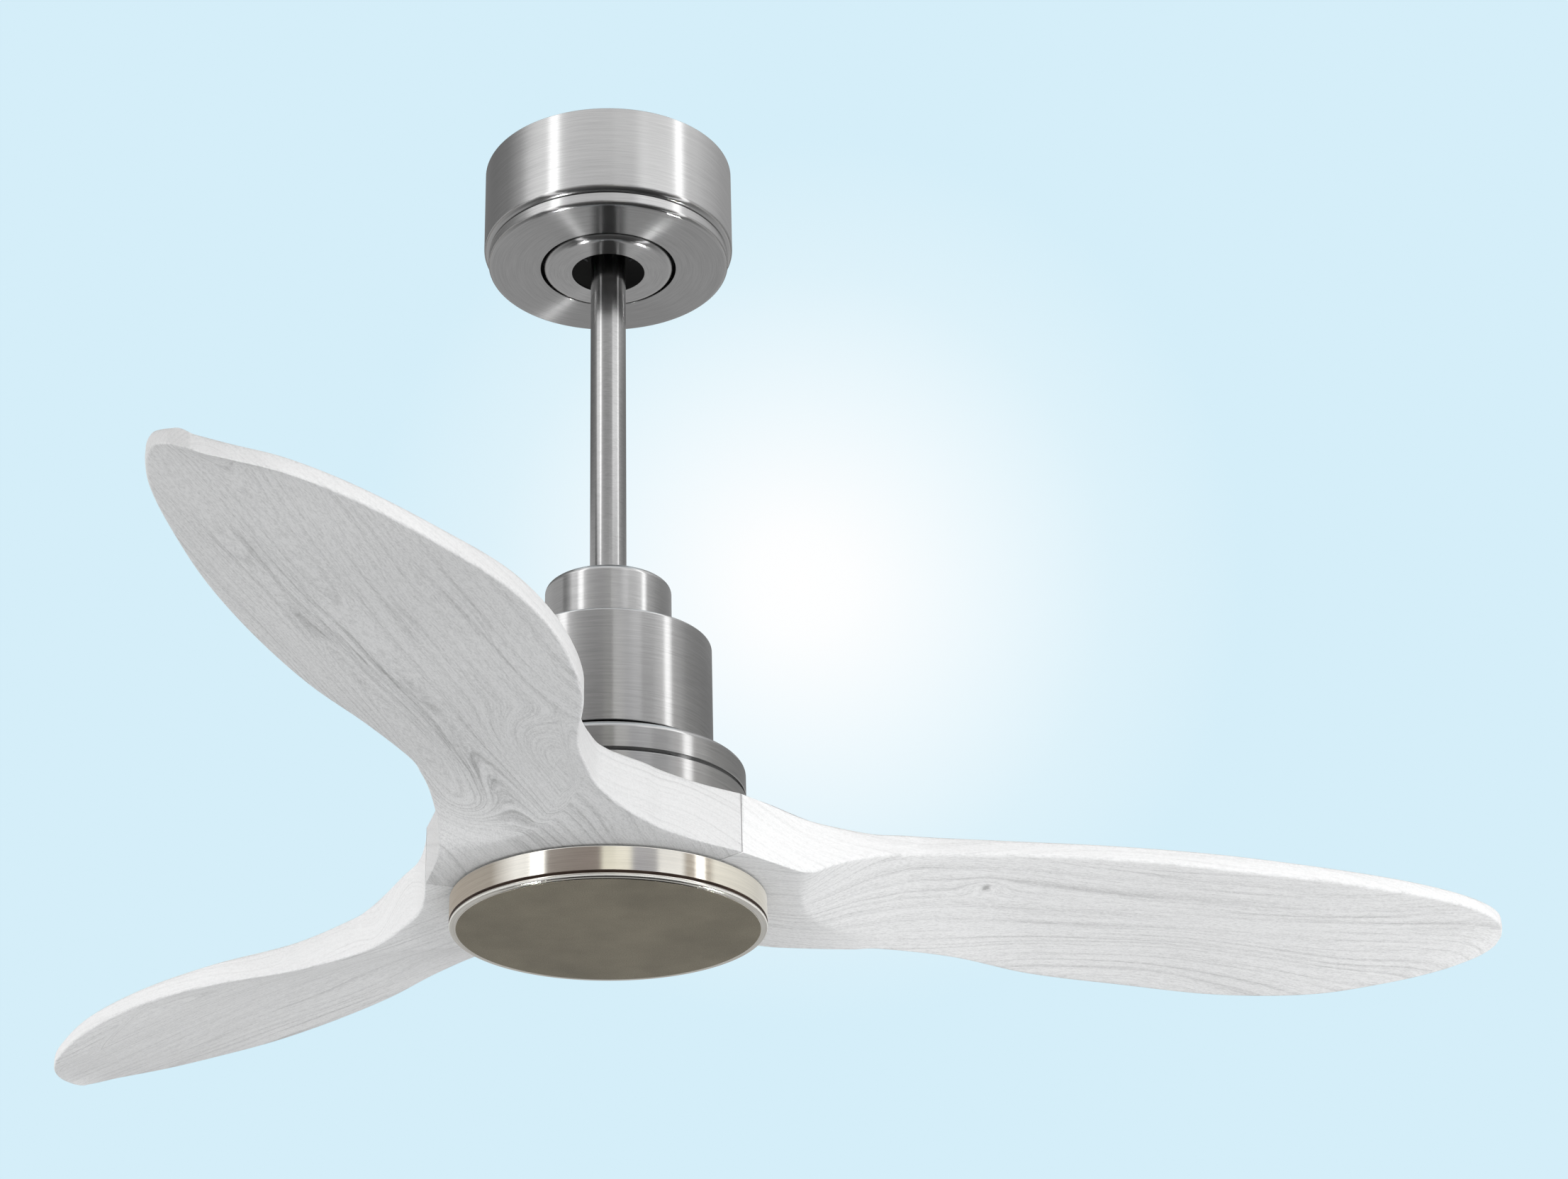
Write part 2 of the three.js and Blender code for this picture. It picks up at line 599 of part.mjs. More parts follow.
function hangerBracket() {
  const [sheet, half, wide] = [bracketSheet, bracketHalfLength, bracketHalfWidth];
  const plate = block([-half, half], [-wide, wide], [-sheet, 0]);
  const leg = bracketLeg();
  const shelf = block([-half + sheet / 2, half - sheet / 2], [-wide, wide], [shelfTopZ - sheet, shelfTopZ]);
  const slotEnd = cylinder(bracketSlotRadius, -sheet - cutOver, cutOver, screwFacets);
  const slot = join(moved(slotEnd, -bracketSlotHalfLength, 0, 0), moved(slotEnd, bracketSlotHalfLength, 0, 0),
    block([-bracketSlotHalfLength, bracketSlotHalfLength], [-bracketSlotRadius, bracketSlotRadius],
      [-sheet - cutOver, cutOver]));
  const wireHole = cylinder(bracketWireHoleRadius, -sheet - cutOver, cutOver, narrowFacets);
  const earthHole = screwHole(earthScrewX, 0, shelfTopZ - sheet - cutOver, shelfTopZ + cutOver);
  const holes = [-1, 1].flatMap((side) => [
    moved(slot, side * bracketSlotX, 0, 0), moved(wireHole, side * bracketWireHoleX, 0, 0)]);
  const frame = cut(join(plate, leg, around(180, leg), shelf, bracketTray(), seatBlank()), ...seatRoom(), earthHole,
    ...holes);
  const keyTop = ballCentreZ - keyDrop;
  const key = block([ballRadius - keyReach, ballRadius], [-keyHalfWidth, keyHalfWidth], [keyTop - keyHeight, keyTop]);
  return join(frame, key);
}

function hangerBall() {
  const [low, high] = [ballFlatRise - ballRadius, ballTopRise];
  const bore = rodRadius + slipGap;
  const ball = turned([
    [bore, ballCentreZ + low],
    ...arcPoints(0, ballCentreZ, ballRadius, Math.asin(low / ballRadius), Math.asin(high / ballRadius), socketSteps),
    [bore, ballCentreZ + high],
  ], middleFacets);
  const groove = block([ballRadius - ballGrooveDepth, ballRadius + cutOver],
    [-ballGrooveHalfWidth, ballGrooveHalfWidth], [ballCentreZ + low - cutOver, ballCentreZ + ballGrooveTopRise]);
  const tapped = crossBar(ballScrewRadius + slipGap, -ballRadius - cutOver, 0, false, ballCentreZ + ballScrewRise);
  return cut(ball, groove, crossHole(hangerPinRadius, ballRadius, true, ballCentreZ), tapped);
}

function hangerPin() {
  const half = ballRadius - hangerPinInset;
  return crossBar(hangerPinRadius, -half, half, true, ballCentreZ);
}

function downrod() {
  return cut(tube(rodRadius - rodWall, rodRadius, rodBottomZ, rodTopZ, narrowFacets),
    crossHole(hangerPinRadius, rodRadius, true, ballCentreZ), crossHole(clevisPinRadius, rodRadius, false, clevisPinZ));
}

function receiverModule() {
  const [half, c] = [receiverLength / 2, receiverCorner];
  const back = -bracketHalfWidth - bracketSheet - receiverGap;
  const front = -trayReach + receiverEndGap;
  const outline = new THREE.Shape([
    [-half + c, front], [half - c, front], [half, front + c], [half, back - c], [half - c, back], [-half + c, back],
    [-half, back - c], [-half, front + c],
  ].map(([x, y]) => new THREE.Vector2(x, y)));
  const box = new THREE.ExtrudeGeometry(outline, { depth: receiverHeight, bevelEnabled: false });
  return fromKernel(toKernel(box.translate(0, 0, trayTopZ + seatGap)));
}

function terminalBlock() {
  const [base, halfL, halfW] = [shelfTopZ + seatGap, terminalLength / 2, terminalWidth / 2];
  const foot = block([terminalX - halfL, terminalX + halfL], [-halfW, halfW], [base, base + terminalHeight / 2]);
  const crest = block([terminalX - halfL / 2, terminalX + halfL / 2], [-halfW, halfW], [base, base + terminalHeight]);
  const top = base + terminalHeight;
  const way = cylinder(terminalWayRadius, top - terminalWayDepth, top + cutOver, screwFacets);
  return cut(join(foot, crest), ...[-1, 0, 1].map((n) => moved(way, terminalX, n * terminalWayPitch, 0)));
}

function couplingCover() {
  const [r, bore, top, wall] = [couplingRadius, rodRadius + couplingRodGap, couplingTopZ, couplingWall];
  const low = housingTopZ + seatGap;
  return turned([
    [bore, top], ...arcPoints(r - couplingEdge, top - couplingEdge, couplingEdge, quarterTurn, 0, edgeSteps),
    [r, low], [r - wall, low], [r - wall, top - couplingEdge], [r - couplingEdge, top - wall], [bore, top - wall],
  ], middleFacets);
}

function couplingYoke() {
  const flangeBottom = yokeFlangeTopZ - yokeFlangeHeight;
  const shaftRoof = yokeSocketFloorZ - yokeWebHeight;
  const body = turned([
    [yokeRadius, yokeTopZ], [yokeRadius, yokeFlangeTopZ], [yokeFlangeRadius, yokeFlangeTopZ],
    [yokeFlangeRadius, flangeBottom], [yokeBossRadius, flangeBottom], [yokeBossRadius, yokeBossBottomZ],
    [shaftRadius + slipGap, yokeBossBottomZ], [shaftRadius + slipGap, shaftRoof], [yokeWireHoleRadius, shaftRoof],
    [yokeWireHoleRadius, yokeSocketFloorZ], [rodRadius + slipGap, yokeSocketFloorZ], [rodRadius + slipGap, yokeTopZ],
  ], narrowFacets);
  const tapped = screwHole(housingScrewCircle, 0, flangeBottom - cutOver, yokeFlangeTopZ + cutOver);
  return cut(body, crossHole(clevisPinRadius, yokeRadius, false, clevisPinZ),
    crossHole(yokeScrewRadius, yokeRadius, true, yokeScrewZ),
    crossHole(shaftPinRadius, yokeBossRadius, true, shaftPinZ),
    ...housingScrewTurns.map((turn) => around(turn, tapped)));
}

function clevisPin() {
  const [seat, tip] = [-yokeRadius - seatGap, yokeRadius + clevisPinOverhang];
  const pin = turnedSolid([
    [0, seat - clevisHeadLength], [clevisHeadRadius, seat - clevisHeadLength], [clevisHeadRadius, seat],
    [clevisPinRadius, seat], [clevisPinRadius, tip], [0, tip],
  ], screwFacets).rotateY(quarterTurn).translate(0, 0, clevisPinZ);
  const hole = cylinder(cotterWireRadius + slipGap, clevisPinZ - clevisPinRadius - cutOver,
    clevisPinZ + clevisPinRadius + cutOver, screwFacets);
  return cut(pin, moved(hole, cotterX, 0, 0));
}

// An R-shaped spring pin: a straight leg through the clevis pin and a bowed one round it.
function cotterPin() {
  const reach = clevisPinRadius + cotterWireRadius + slipGap;
  const path = new THREE.CatmullRomCurve3([
    [0, 0, -cotterLeg], [0, 0, 0], [0, 0, cotterLeg], [0, cotterBow / 2, cotterLeg + cotterBow],
    [0, cotterBow, cotterLeg], [0, reach, clevisPinRadius], [0, reach + cotterWireRadius, 0],
    [0, reach, -clevisPinRadius], [0, reach + cotterWireRadius, -cotterLeg],
  ].map(([x, y, z]) => new THREE.Vector3(cotterX + x, y, clevisPinZ + z)));
  const wire = new THREE.Shape(evenTurns(wireFacets, 0).map((turn) => new THREE.Vector2(
    cotterWireRadius * Math.cos(radians(turn)), cotterWireRadius * Math.sin(radians(turn)))));
  return fromKernel(toKernel(new THREE.ExtrudeGeometry(wire, {
    steps: wireSteps, extrudePath: path, bevelEnabled: false,
  })));
}

function upperHousing() {
  const [r, top, low, wall, edge] = [housingRadius, housingTopZ, housingBottomZ, housingWall, housingEdge];
  const bore = yokeRadius + slipGap;
  const body = turned([
    [bore, top], [r - edge, top], [r, top - edge], [r, low], [r - wall, low], [r - wall, top - wall],
    [bore, top - wall],
  ], wideFacets);
  const hole = screwHole(housingScrewCircle, 0, top - wall - cutOver, top + cutOver);
  return cut(body, ...housingScrewTurns.map((turn) => around(turn, hole)));
}

function housingBase() {
  const [top, low, under, sheet] = [baseTopZ, baseNeckBottomZ, baseTopZ - baseSheet, baseSheet];
  const bore = shaftRadius + slipGap;
  const body = turned([
    [baseRadius, top], [baseRadius, under], [baseNeckRadius, under], [baseNeckRadius, low],
    [baseNeckRadius - sheet, low], [baseNeckRadius - sheet, under], [baseBossRadius, under],
    [baseBossRadius, low], [bore, low], [bore, top],
  ], middleFacets);
  const post = cylinder(basePostRadius, top - sheet / 2, boardTopZ - boardThickness - seatGap, screwFacets);
  return join(body, ...basePostTurns.map((turn) => around(turn, moved(post, basePostCircle, 0, 0))));
}

function driverBoard() {
  const low = boardTopZ - boardThickness;
  const sunk = boardTopZ - boardThickness / 2;
  const scaled = (row) => row.map((share) => share * boardRadius);
  const cans = boardCanShares.map(scaled).map(([radius, height, x, y]) => moved(
    cylinder(radius, sunk, boardTopZ + height, narrowFacets), x, y, 0));
  const boxes = boardBoxShares.map(scaled).map(([x, y, halfX, halfY, height]) => block(
    [x - halfX, x + halfX], [y - halfY, y + halfY], [sunk, boardTopZ + height]));
  return join(tube(boardHoleRadius, boardRadius, low, boardTopZ, middleFacets), ...cans, ...boxes);
}

function motorShaft() {
  const stopTop = baseNeckBottomZ - seatGap;
  const stopLow = stopTop - shaftStopHeight;
  const stopRadius = shaftRadius + shaftStopWidth;
  const seatTop = upperBearingTopZ - bearingHeight - seatGap;
  const seatLow = lowerBearingTopZ + seatGap;
  const body = turned([
    [shaftRadius, shaftTopZ], [shaftRadius, stopTop], [stopRadius, stopTop], [stopRadius, stopLow],
    [shaftRadius, stopLow], [shaftRadius, seatTop], [shaftSeatRadius, seatTop], [shaftSeatRadius, seatLow],
    [shaftRadius, seatLow], [shaftRadius, shaftBottomZ], [shaftBoreRadius, shaftBottomZ],
    [shaftBoreRadius, shaftTopZ],
  ], narrowFacets);
  return cut(body, crossHole(shaftPinRadius, shaftRadius, true, shaftPinZ));
}

function bearing(top) {
  return tube(shaftRadius + slipGap / 2, bearingRadius, top - bearingHeight, top, narrowFacets);
}

function statorCore() {
  const outline = [];
  const neck = statorRadius - shoeDepth;
  const shoeTip = statorRadius - shoeDepth / 3;
  const rootHalf = Math.asin(toothHalfWidth / statorHubRadius);
  const neckHalf = Math.asin(toothHalfWidth / neck);
  const shoeHalf = Math.PI / toothCount - shoeSlotHalfWidth / statorRadius;
  evenTurns(toothCount, 0).forEach((turn) => {
    const spot = (radius, offset) => outline.push(new THREE.Vector2(
      radius * Math.cos(radians(turn) + offset), radius * Math.sin(radians(turn) + offset)));
    spot(statorHubRadius, -rootHalf);
    spot(neck, -neckHalf);
    spot(shoeTip, -shoeHalf);
    shoeArcShares.forEach((share) => spot(statorRadius, share * shoeHalf));
    spot(shoeTip, shoeHalf);
    spot(neck, neckHalf);
    spot(statorHubRadius, rootHalf);
  });
  const stack = new THREE.ExtrudeGeometry(new THREE.Shape(outline), { depth: statorStack, bevelEnabled: false });
  const bore = cylinder(shaftSeatRadius + slipGap / 2, statorMidZ - statorStack, statorMidZ + statorStack,
    narrowFacets);
  return cut(stack.translate(0, 0, statorMidZ - statorStack / 2), bore);
}

// Twelve coils round the teeth, joined by their lead ring.
function statorWinding() {
  const half = statorStack / 2 + coilGap;
  const outer = half + coilOverhang;
  const inner = toothHalfWidth + coilGap;
  const coil = cut(
    block([coilInnerRadius, coilOuterRadius], [-coilHalfWidth, coilHalfWidth],
      [statorMidZ - outer, statorMidZ + outer]),
    block([coilInnerRadius - cutOver, coilOuterRadius + cutOver], [-inner, inner],
      [statorMidZ - half, statorMidZ + half]),
  );
  const ring = tube(coilInnerRadius - coilRingWidth, coilInnerRadius + coilRingRise,
    statorMidZ + half + coilRingRise, statorMidZ + outer - coilRingRise, middleFacets);
  return join(ring, ...evenTurns(toothCount, 0).map((turn) => around(turn, coil)));
}

function magnetRing() {
  const inner = statorRadius + airGap;
  return tube(inner, inner + magnetThickness, statorMidZ - magnetHeight / 2, statorMidZ + magnetHeight / 2,
    wideFacets);
}

function shellScrewTurns() {
  return evenTurns(bladeCount, firstBladeAzimuth + 180 / bladeCount);
}

function motorShellUpper() {
  const [r, top, roof, edge] = [shellRadius, shellTopZ, shellTopZ - shellWall, shellEdge];
  const lipLow = upperBearingTopZ + seatGap;
  const lipRadius = bearingBoreRadius - bearingLipReach;
  const boreLow = upperBearingTopZ - bearingHeight;
  const spigotLow = shellGrooveZ - spigotLength;
  const fluxInner = fluxRingRadius - fluxRingWall;
  const fluxLow = statorMidZ - magnetHeight / 2 - seatGap;
  const body = turned([
    [lipRadius, lipLow + bearingLip], [bearingBossRadius, lipLow + bearingLip], [bearingBossRadius, top],
    ...arcPoints(r - edge, top - edge, edge, quarterTurn, 0, edgeSteps), [r, shellGrooveZ],
    [spigotRadius, shellGrooveZ], [spigotRadius, spigotLow], [spigotRadius - spigotWall, spigotLow],
    [spigotRadius - spigotWall, top - edge], [r - edge - spigotWall, roof], [fluxRingRadius, roof],
    [fluxRingRadius, fluxLow], [fluxInner, fluxLow], [fluxInner, roof], [bearingBossRadius, roof],
    [bearingBossRadius, boreLow], [bearingBoreRadius, boreLow], [bearingBoreRadius, lipLow], [lipRadius, lipLow],
  ], wideFacets);
  const postLow = shellFloorZ + shellBossHeight + seatGap;
  const post = moved(cylinder(shellPostRadius, postLow, roof + shellWall / 2, screwFacets), shellScrewCircle, 0, 0);
  const hole = screwHole(shellScrewCircle, 0, postLow - cutOver, roof);
  const turns = shellScrewTurns();
  return cut(join(body, ...turns.map((turn) => around(turn, post))), ...turns.map((turn) => around(turn, hole)));
}

function motorShellLower() {
  const [r, wall, low, floor] = [shellRadius, shellWall, shellFloorZ, shellFloorZ + shellWall];
  const top = shellGrooveZ - shellGrooveHeight;
  const boreTop = lowerBearingTopZ - seatGap;
  const lipTop = lowerBearingTopZ - bearingHeight - seatGap;
  const lipRadius = bearingBoreRadius - bearingLipReach;
  const body = turned([
    [bearingBoreRadius, boreTop], [bearingBossRadius, boreTop], [bearingBossRadius, floor], [r - wall, floor],
    [r - wall, top], [r, top], [r, low + shellFootEdge], [r - shellFootEdge, low], [bearingBossRadius, low],
    [bearingBossRadius, lipTop - bearingLip], [lipRadius, lipTop - bearingLip], [lipRadius, lipTop],
    [bearingBoreRadius, lipTop],
  ], wideFacets);
  const pad = moved(cylinder(shellBossRadius, low + wall / 2, low + shellBossHeight, screwFacets),
    shellScrewCircle, 0, 0);
  const sink = moved(cylinder(screwHeadRadius + slipGap, low - cutOver, low + shellBossSink, screwFacets),
    shellScrewCircle, 0, 0);
  const hole = screwHole(shellScrewCircle, 0, low, low + shellBossHeight + cutOver);
  const bladeHoles = bladeScrewSpots().map(([x, y]) => screwHole(x, y, low - cutOver, floor + cutOver));
  const turns = shellScrewTurns();
  return cut(join(body, ...turns.map((turn) => around(turn, pad))),
    ...turns.flatMap((turn) => [around(turn, sink), around(turn, hole)]), ...bladeHoles);
}

// Where the screws of one blade stand, near one first.
function screwSpotsOf(number) {
  const middle = firstBladeAzimuth + (360 * number) / bladeCount;
  return [
    [bladeScrewNearRadius, 0], [bladeScrewFarRadius, -bladeScrewSpread], [bladeScrewFarRadius, bladeScrewSpread],
  ].map(([radius, spread]) => [
    radius * Math.cos(radians(middle + spread)), radius * Math.sin(radians(middle + spread))]);
}

function bladeScrewSpots() {
  return Array.from({ length: bladeCount }, (_, number) => screwSpotsOf(number)).flat();
}

// Smooth value between table rows, passing through each of them.
function between(rows, place) {
  const i = Math.min(rows.length - 2, Math.max(0, Math.floor(place)));
  const t = place - i;
  const [a, b, c, d] = [rows[Math.max(0, i - 1)], rows[i], rows[i + 1], rows[Math.min(rows.length - 1, i + 2)]];
  return b.map((_, k) => {
    const [p, q, r, s] = [a[k], b[k], c[k], d[k]];
    return q + 0.5 * t * (r - p + t * (2 * p - 5 * q + 4 * r - s + t * (3 * (q - r) + s - p)));
  });
}

// The blade's table in millimetres, with the row of its two crotches in front.
function bladeRows() {
  const measured = ([along, across, rise, thickness]) => [
    crotchX + along * (bladeReach - crotchX), across * bladeWidth, rise * hubThickness, thickness * hubThickness];
  return [
    [crotchX, -crotchY, 0, hubThickness, crotchX, crotchY, 0, hubThickness, rootCreaseShare, 0],
    ...bladeShares.map(([lead, trail, [share, rise]]) => [
      ...measured(lead), ...measured(trail), share, rise * hubThickness]),
  ];
}

// How far a point of the root's chord moves to lie on the mitre or on the hub's round hole.
function rootFold(share) {
  const side = share < 0.5 ? -1 : 1;
  const away = Math.abs(share - 0.5) * 2;
  const onArc = Math.min(1, away / hubArcShare);
  const radius = hubHoleRadius
    + Math.max(0, (away - hubArcShare) / (1 - hubArcShare)) * (crotchRadius - hubHoleRadius);
  const angle = side * onArc * mitreAngle;
  const nudge = mitreGap / 2;
  return [
    radius * Math.cos(angle) - crotchX + nudge * Math.sin(mitreAngle),
    radius * Math.sin(angle) - side * away * crotchY - side * nudge * Math.cos(mitreAngle) * onArc,
  ];
}

// Lower and upper points of one station, from the leading to the trailing edge.
function bladeStation(rows, station) {
  const place = ((rows.length - 1) * station) / (bladeStations - 1);
  const row = between(rows, place);
  const [leadX, leadY, leadRise, leadThick, trailX, trailY, trailRise, trailThick] = row;
  const [creaseShare, creaseRise] = station === 0 ? [0.5, 0] : row.slice(8);
  const folded = Math.max(0, 1 - place / foldRows) ** foldPower;
  const crown = bladeCrown * Math.min(1, Math.max(0, place / crownRows - 1));
  const half = bladeSpans / 2;
  const shares = Array.from({ length: bladeSpans + 1 }, (_, i) => (i <= half
    ? (creaseShare * i) / half
    : creaseShare + ((1 - creaseShare) * (i - half)) / half));
  const plan = shares.map((share) => {
    const [x, y] = rootFold(share);
    return [leadX + (trailX - leadX) * share + x * folded, leadY + (trailY - leadY) * share + y * folded];
  });
  const lower = shares.map((share, i) => [...plan[i], share <= creaseShare
    ? leadRise + ((creaseRise - leadRise) * share) / creaseShare
    : creaseRise + ((trailRise - creaseRise) * (share - creaseShare)) / (1 - creaseShare)]);
  const upper = shares.map((share, i) => [...plan[i],
    (leadRise + leadThick) * (1 - share) + (trailRise + trailThick) * share + crown * 4 * share * (1 - share)]);
  return { lower, upper };
}

// The closed ring of points round one station, with its corners taken off.
function stationRing({ lower, upper }, station) {
  const chamfer = bladeEdge * Math.min(1, station / edgeStations);
  const drawnIn = (from, to) => {
    const run = Math.hypot(to[0] - from[0], to[1] - from[1]) || 1;
    return [from[0] + ((to[0] - from[0]) / run) * chamfer, from[1] + ((to[1] - from[1]) / run) * chamfer, from[2]];
  };
  const raised = (point, rise) => [point[0], point[1], point[2] + rise];
  const last = bladeSpans;
  const chord = (row) => [drawnIn(row[0], row[1]), ...row.slice(1, last), drawnIn(row[last], row[last - 1])];
  return [
    ...chord(lower), raised(lower[last], chamfer), raised(upper[last], -chamfer),
    ...chord(upper).reverse(), raised(upper[0], -chamfer), raised(lower[0], chamfer),
  ];
}

// Triangles that close a ring whose first point has the given index.
function ringCap(first, count) {
  const upperOf = (i) => first + 2 * bladeSpans + 3 - i;
  const faces = [];
  for (let i = 0; i < bladeSpans; i += 1) {
    faces.push([first + i, first + i + 1, upperOf(i + 1)], [first + i, upperOf(i + 1), upperOf(i)]);
  }
  const end = first + bladeSpans;
  const start = first + count;
  faces.push([end, end + 1, end + 2], [end, end + 2, upperOf(bladeSpans)]);
  faces.push([upperOf(0), start - 2, start - 1], [upperOf(0), start - 1, first]);
  return faces;
}

function plainBlade() {
  const rows = bladeRows();
  const rings = Array.from({ length: bladeStations }, (_, n) => stationRing(bladeStation(rows, n), n));
  const count = rings[0].length;
  const order = [];
  for (let n = 0; n < rings.length - 1; n += 1) {
    for (let i = 0; i < count; i += 1) {
      const [a, b] = [n * count + i, n * count + ((i + 1) % count)];
      order.push(a, b, a + count, b, b + count, a + count);
    }
  }
  ringCap(0, count).forEach(([a, b, c]) => order.push(a, c, b));
  ringCap((rings.length - 1) * count, count).forEach((face) => order.push(...face));
  const places = rings.flat().flatMap(([x, y, z]) => [x, y, z + woodBottomZ]);
  const geometry = new THREE.BufferGeometry();
  geometry.setAttribute('position', new THREE.BufferAttribute(Float32Array.from(places), 3));
  geometry.setIndex(order);
  return geometry;
}

function blade(number, plain) {
  const holes = screwSpotsOf(number).map(([x, y]) => screwHole(x, y, woodBottomZ - cutOver, woodTopZ + cutOver));
  return cut(around(firstBladeAzimuth + (360 * number) / bladeCount, plain), ...holes);
}

function clampPlate() {
  const [top, low] = [clampPlateTopZ, clampPlateTopZ - clampPlateSheet];
  return cut(tube(clampPlateHoleRadius, clampPlateRadius, low, top, middleFacets),
    ...bladeScrewSpots().map(([x, y]) => screwHole(x, y, low - cutOver, top + cutOver)));
}

function lightKitPlate() {
  const [top, low] = [kitPlateTopZ, kitPlateTopZ - kitPlateSheet];
  const notch = block([kitPlateRadius - kitNotchDepth, kitPlateRadius + cutOver],
    [-kitNotchHalfWidth, kitNotchHalfWidth], [low - cutOver, top + cutOver]);
  const wireHole = cylinder(kitWireHoleRadius, low - cutOver, top + cutOver, screwFacets);
  return cut(tube(shaftRadius + slipGap, kitPlateRadius, low, top, wideFacets), moved(wireHole, -kitPlugCircle, 0, 0),
    ...evenTurns(lugCount, kitNotchTurn).map((turn) => around(turn, notch)));
}

function lightKitNut() {
  const low = kitSeatZ - kitNutHeight;
  const cornerRadius = (shaftRadius + kitNutWidth) / Math.cos(Math.PI / nutSides);
  return cut(cylinder(cornerRadius, low, kitSeatZ, nutSides),
    cylinder(shaftRadius + slipGap, low - cutOver, kitSeatZ + cutOver, narrowFacets));
}

function lightKitPlug() {
  const [halfL, halfW, low] = [kitPlugLength / 2, kitPlugWidth / 2, kitSeatZ - kitPlugHeight];
  const shell = block([kitPlugCircle - halfL, kitPlugCircle + halfL], [-halfW, halfW], [low, kitSeatZ]);
  const way = block([-halfW / 2, halfW / 2], [-halfW / 2, halfW / 2], [low - cutOver, low + kitPlugHeight / 2]);
  return cut(shell, ...[-1, 1].map((side) => moved(way, kitPlugCircle + (side * halfL) / 2, 0, 0)));
}

function lightCap() {
  const top = woodBottomZ - runningGap;
  const [r, face, wall, bead, groove] = [capRadius, capFaceZ, capWall, capBeadRadius, capGroove];
  const [inner, lipIn, lipTop] = [r - wall, r - bead * 2, face + bead * 2];
  const body = turnedSolid([
    [0, face], [lipIn - groove, face], [lipIn, face + groove], [lipIn + groove, face + groove / 2],
    ...arcPoints(r - bead, face + bead, bead, -quarterTurn, quarterTurn / 3, 5),
    [r - groove, lipTop], [r, lipTop + groove], [r, top], [inner, top], [inner, lipTop + groove],
    [lipIn - groove, face + wall], [0, face + wall],
  ], wideFacets);
  const low = kitPlateTopZ + seatGap;
  const lug = block([kitPlateRadius - lugOverlap, inner + wall / 2], [-lugHalfWidth, lugHalfWidth],
    [low, low + lugHeight]);
  return join(body, ...evenTurns(lugCount, 0).map((turn) => around(turn, lug)));
}

const finishes = {
  brushed_nickel: [0xb9b9b7, 0.32, 1],
  satin_nickel: [0x8f8a7c, 0.42, 1],
  white_wood: [0xdcdad6, 0.62, 0],
  zinc_steel: [0xb4b8bd, 0.45, 1],
  cast_metal: [0x5f6164, 0.55, 1],
  black_plastic: [0x17181a, 0.5, 0],
  grey_plastic: [0xd8d8d4, 0.5, 0],
  green_screw: [0x2f7d46, 0.45, 1],
  board_green: [0x1c5a38, 0.55, 0],
  lamination_steel: [0x6c7078, 0.5, 1],
  copper_wire: [0xb06a38, 0.35, 1],
  magnet_dark: [0x303236, 0.6, 0],
};

const root = new THREE.Group();
root.name = 'ceiling_fan';

function add(name, finish, geometry) {
  const [color, roughness, metalness] = finishes[finish];
  const flat = geometry.toNonIndexed();
  flat.computeVertexNormals();
  const mesh = new THREE.Mesh(flat, new THREE.MeshStandardMaterial({ color, roughness, metalness }));
  mesh.name = name;
  mesh.material.name = finish;
  root.add(mesh);
}

// Held to the ceiling
add('hanger_bracket', 'zinc_steel', hangerBracket());
add('canopy', 'brushed_nickel', canopyBody());
add('canopy_cover', 'brushed_nickel', canopyCover());
const canopyScrewSeatZ = coverTopZ - coverWall - seatGap;
const canopyScrew = screwUp(bracketFootTopZ + canopyScrewReach - canopyScrewSeatZ);
[1, -1].forEach((side, n) => add(`canopy_screw_${n + 1}`, 'zinc_steel',
  moved(canopyScrew, side * canopyScrewX, 0, canopyScrewSeatZ)));
add('receiver_module', 'grey_plastic', receiverModule());
add('terminal_block', 'black_plastic', terminalBlock());
add('earth_screw', 'green_screw', moved(screwDown(earthScrewLength), earthScrewX, 0, shelfTopZ + seatGap));

// The cross pin in the ball
add('hanger_pin', 'zinc_steel', hangerPin());

// Hanging, and still while the blades turn
add('hanger_ball', 'black_plastic', hangerBall());
add('ball_set_screw', 'zinc_steel', around(180, setScrew(ballScrewRadius, rodRadius + slipGap, ballScrewLength))
  .translate(0, 0, ballCentreZ + ballScrewRise));
add('downrod', 'brushed_nickel', downrod());
add('coupling_cover', 'brushed_nickel', couplingCover());
add('coupling_yoke', 'cast_metal', couplingYoke());
add('clevis_pin', 'zinc_steel', clevisPin());
add('cotter_pin', 'zinc_steel', cotterPin());
const yokeScrew = setScrew(yokeScrewRadius, rodRadius + slipGap, yokeScrewLength);
[90, 270].forEach((turn, n) => add(`yoke_set_screw_${n + 1}`, 'zinc_steel',
  around(turn, yokeScrew).translate(0, 0, yokeScrewZ)));
add('shaft_pin', 'zinc_steel', crossBar(shaftPinRadius, -yokeBossRadius, yokeBossRadius, true, shaftPinZ));
add('upper_housing', 'brushed_nickel', upperHousing());
const housingScrew = moved(screwDown(housingWall + yokeFlangeHeight), housingScrewCircle, 0, housingTopZ + seatGap);
housingScrewTurns.forEach((turn, n) => add(`housing_screw_${n + 1}`, 'zinc_steel', around(turn, housingScrew)));
add('housing_base', 'black_plastic', housingBase());
add('driver_board', 'board_green', driverBoard());
add('motor_shaft', 'zinc_steel', motorShaft());
add('upper_bearing', 'zinc_steel', bearing(upperBearingTopZ));
add('lower_bearing', 'zinc_steel', bearing(lowerBearingTopZ));
add('stator_core', 'lamination_steel', statorCore());
add('stator_winding', 'copper_wire', statorWinding());

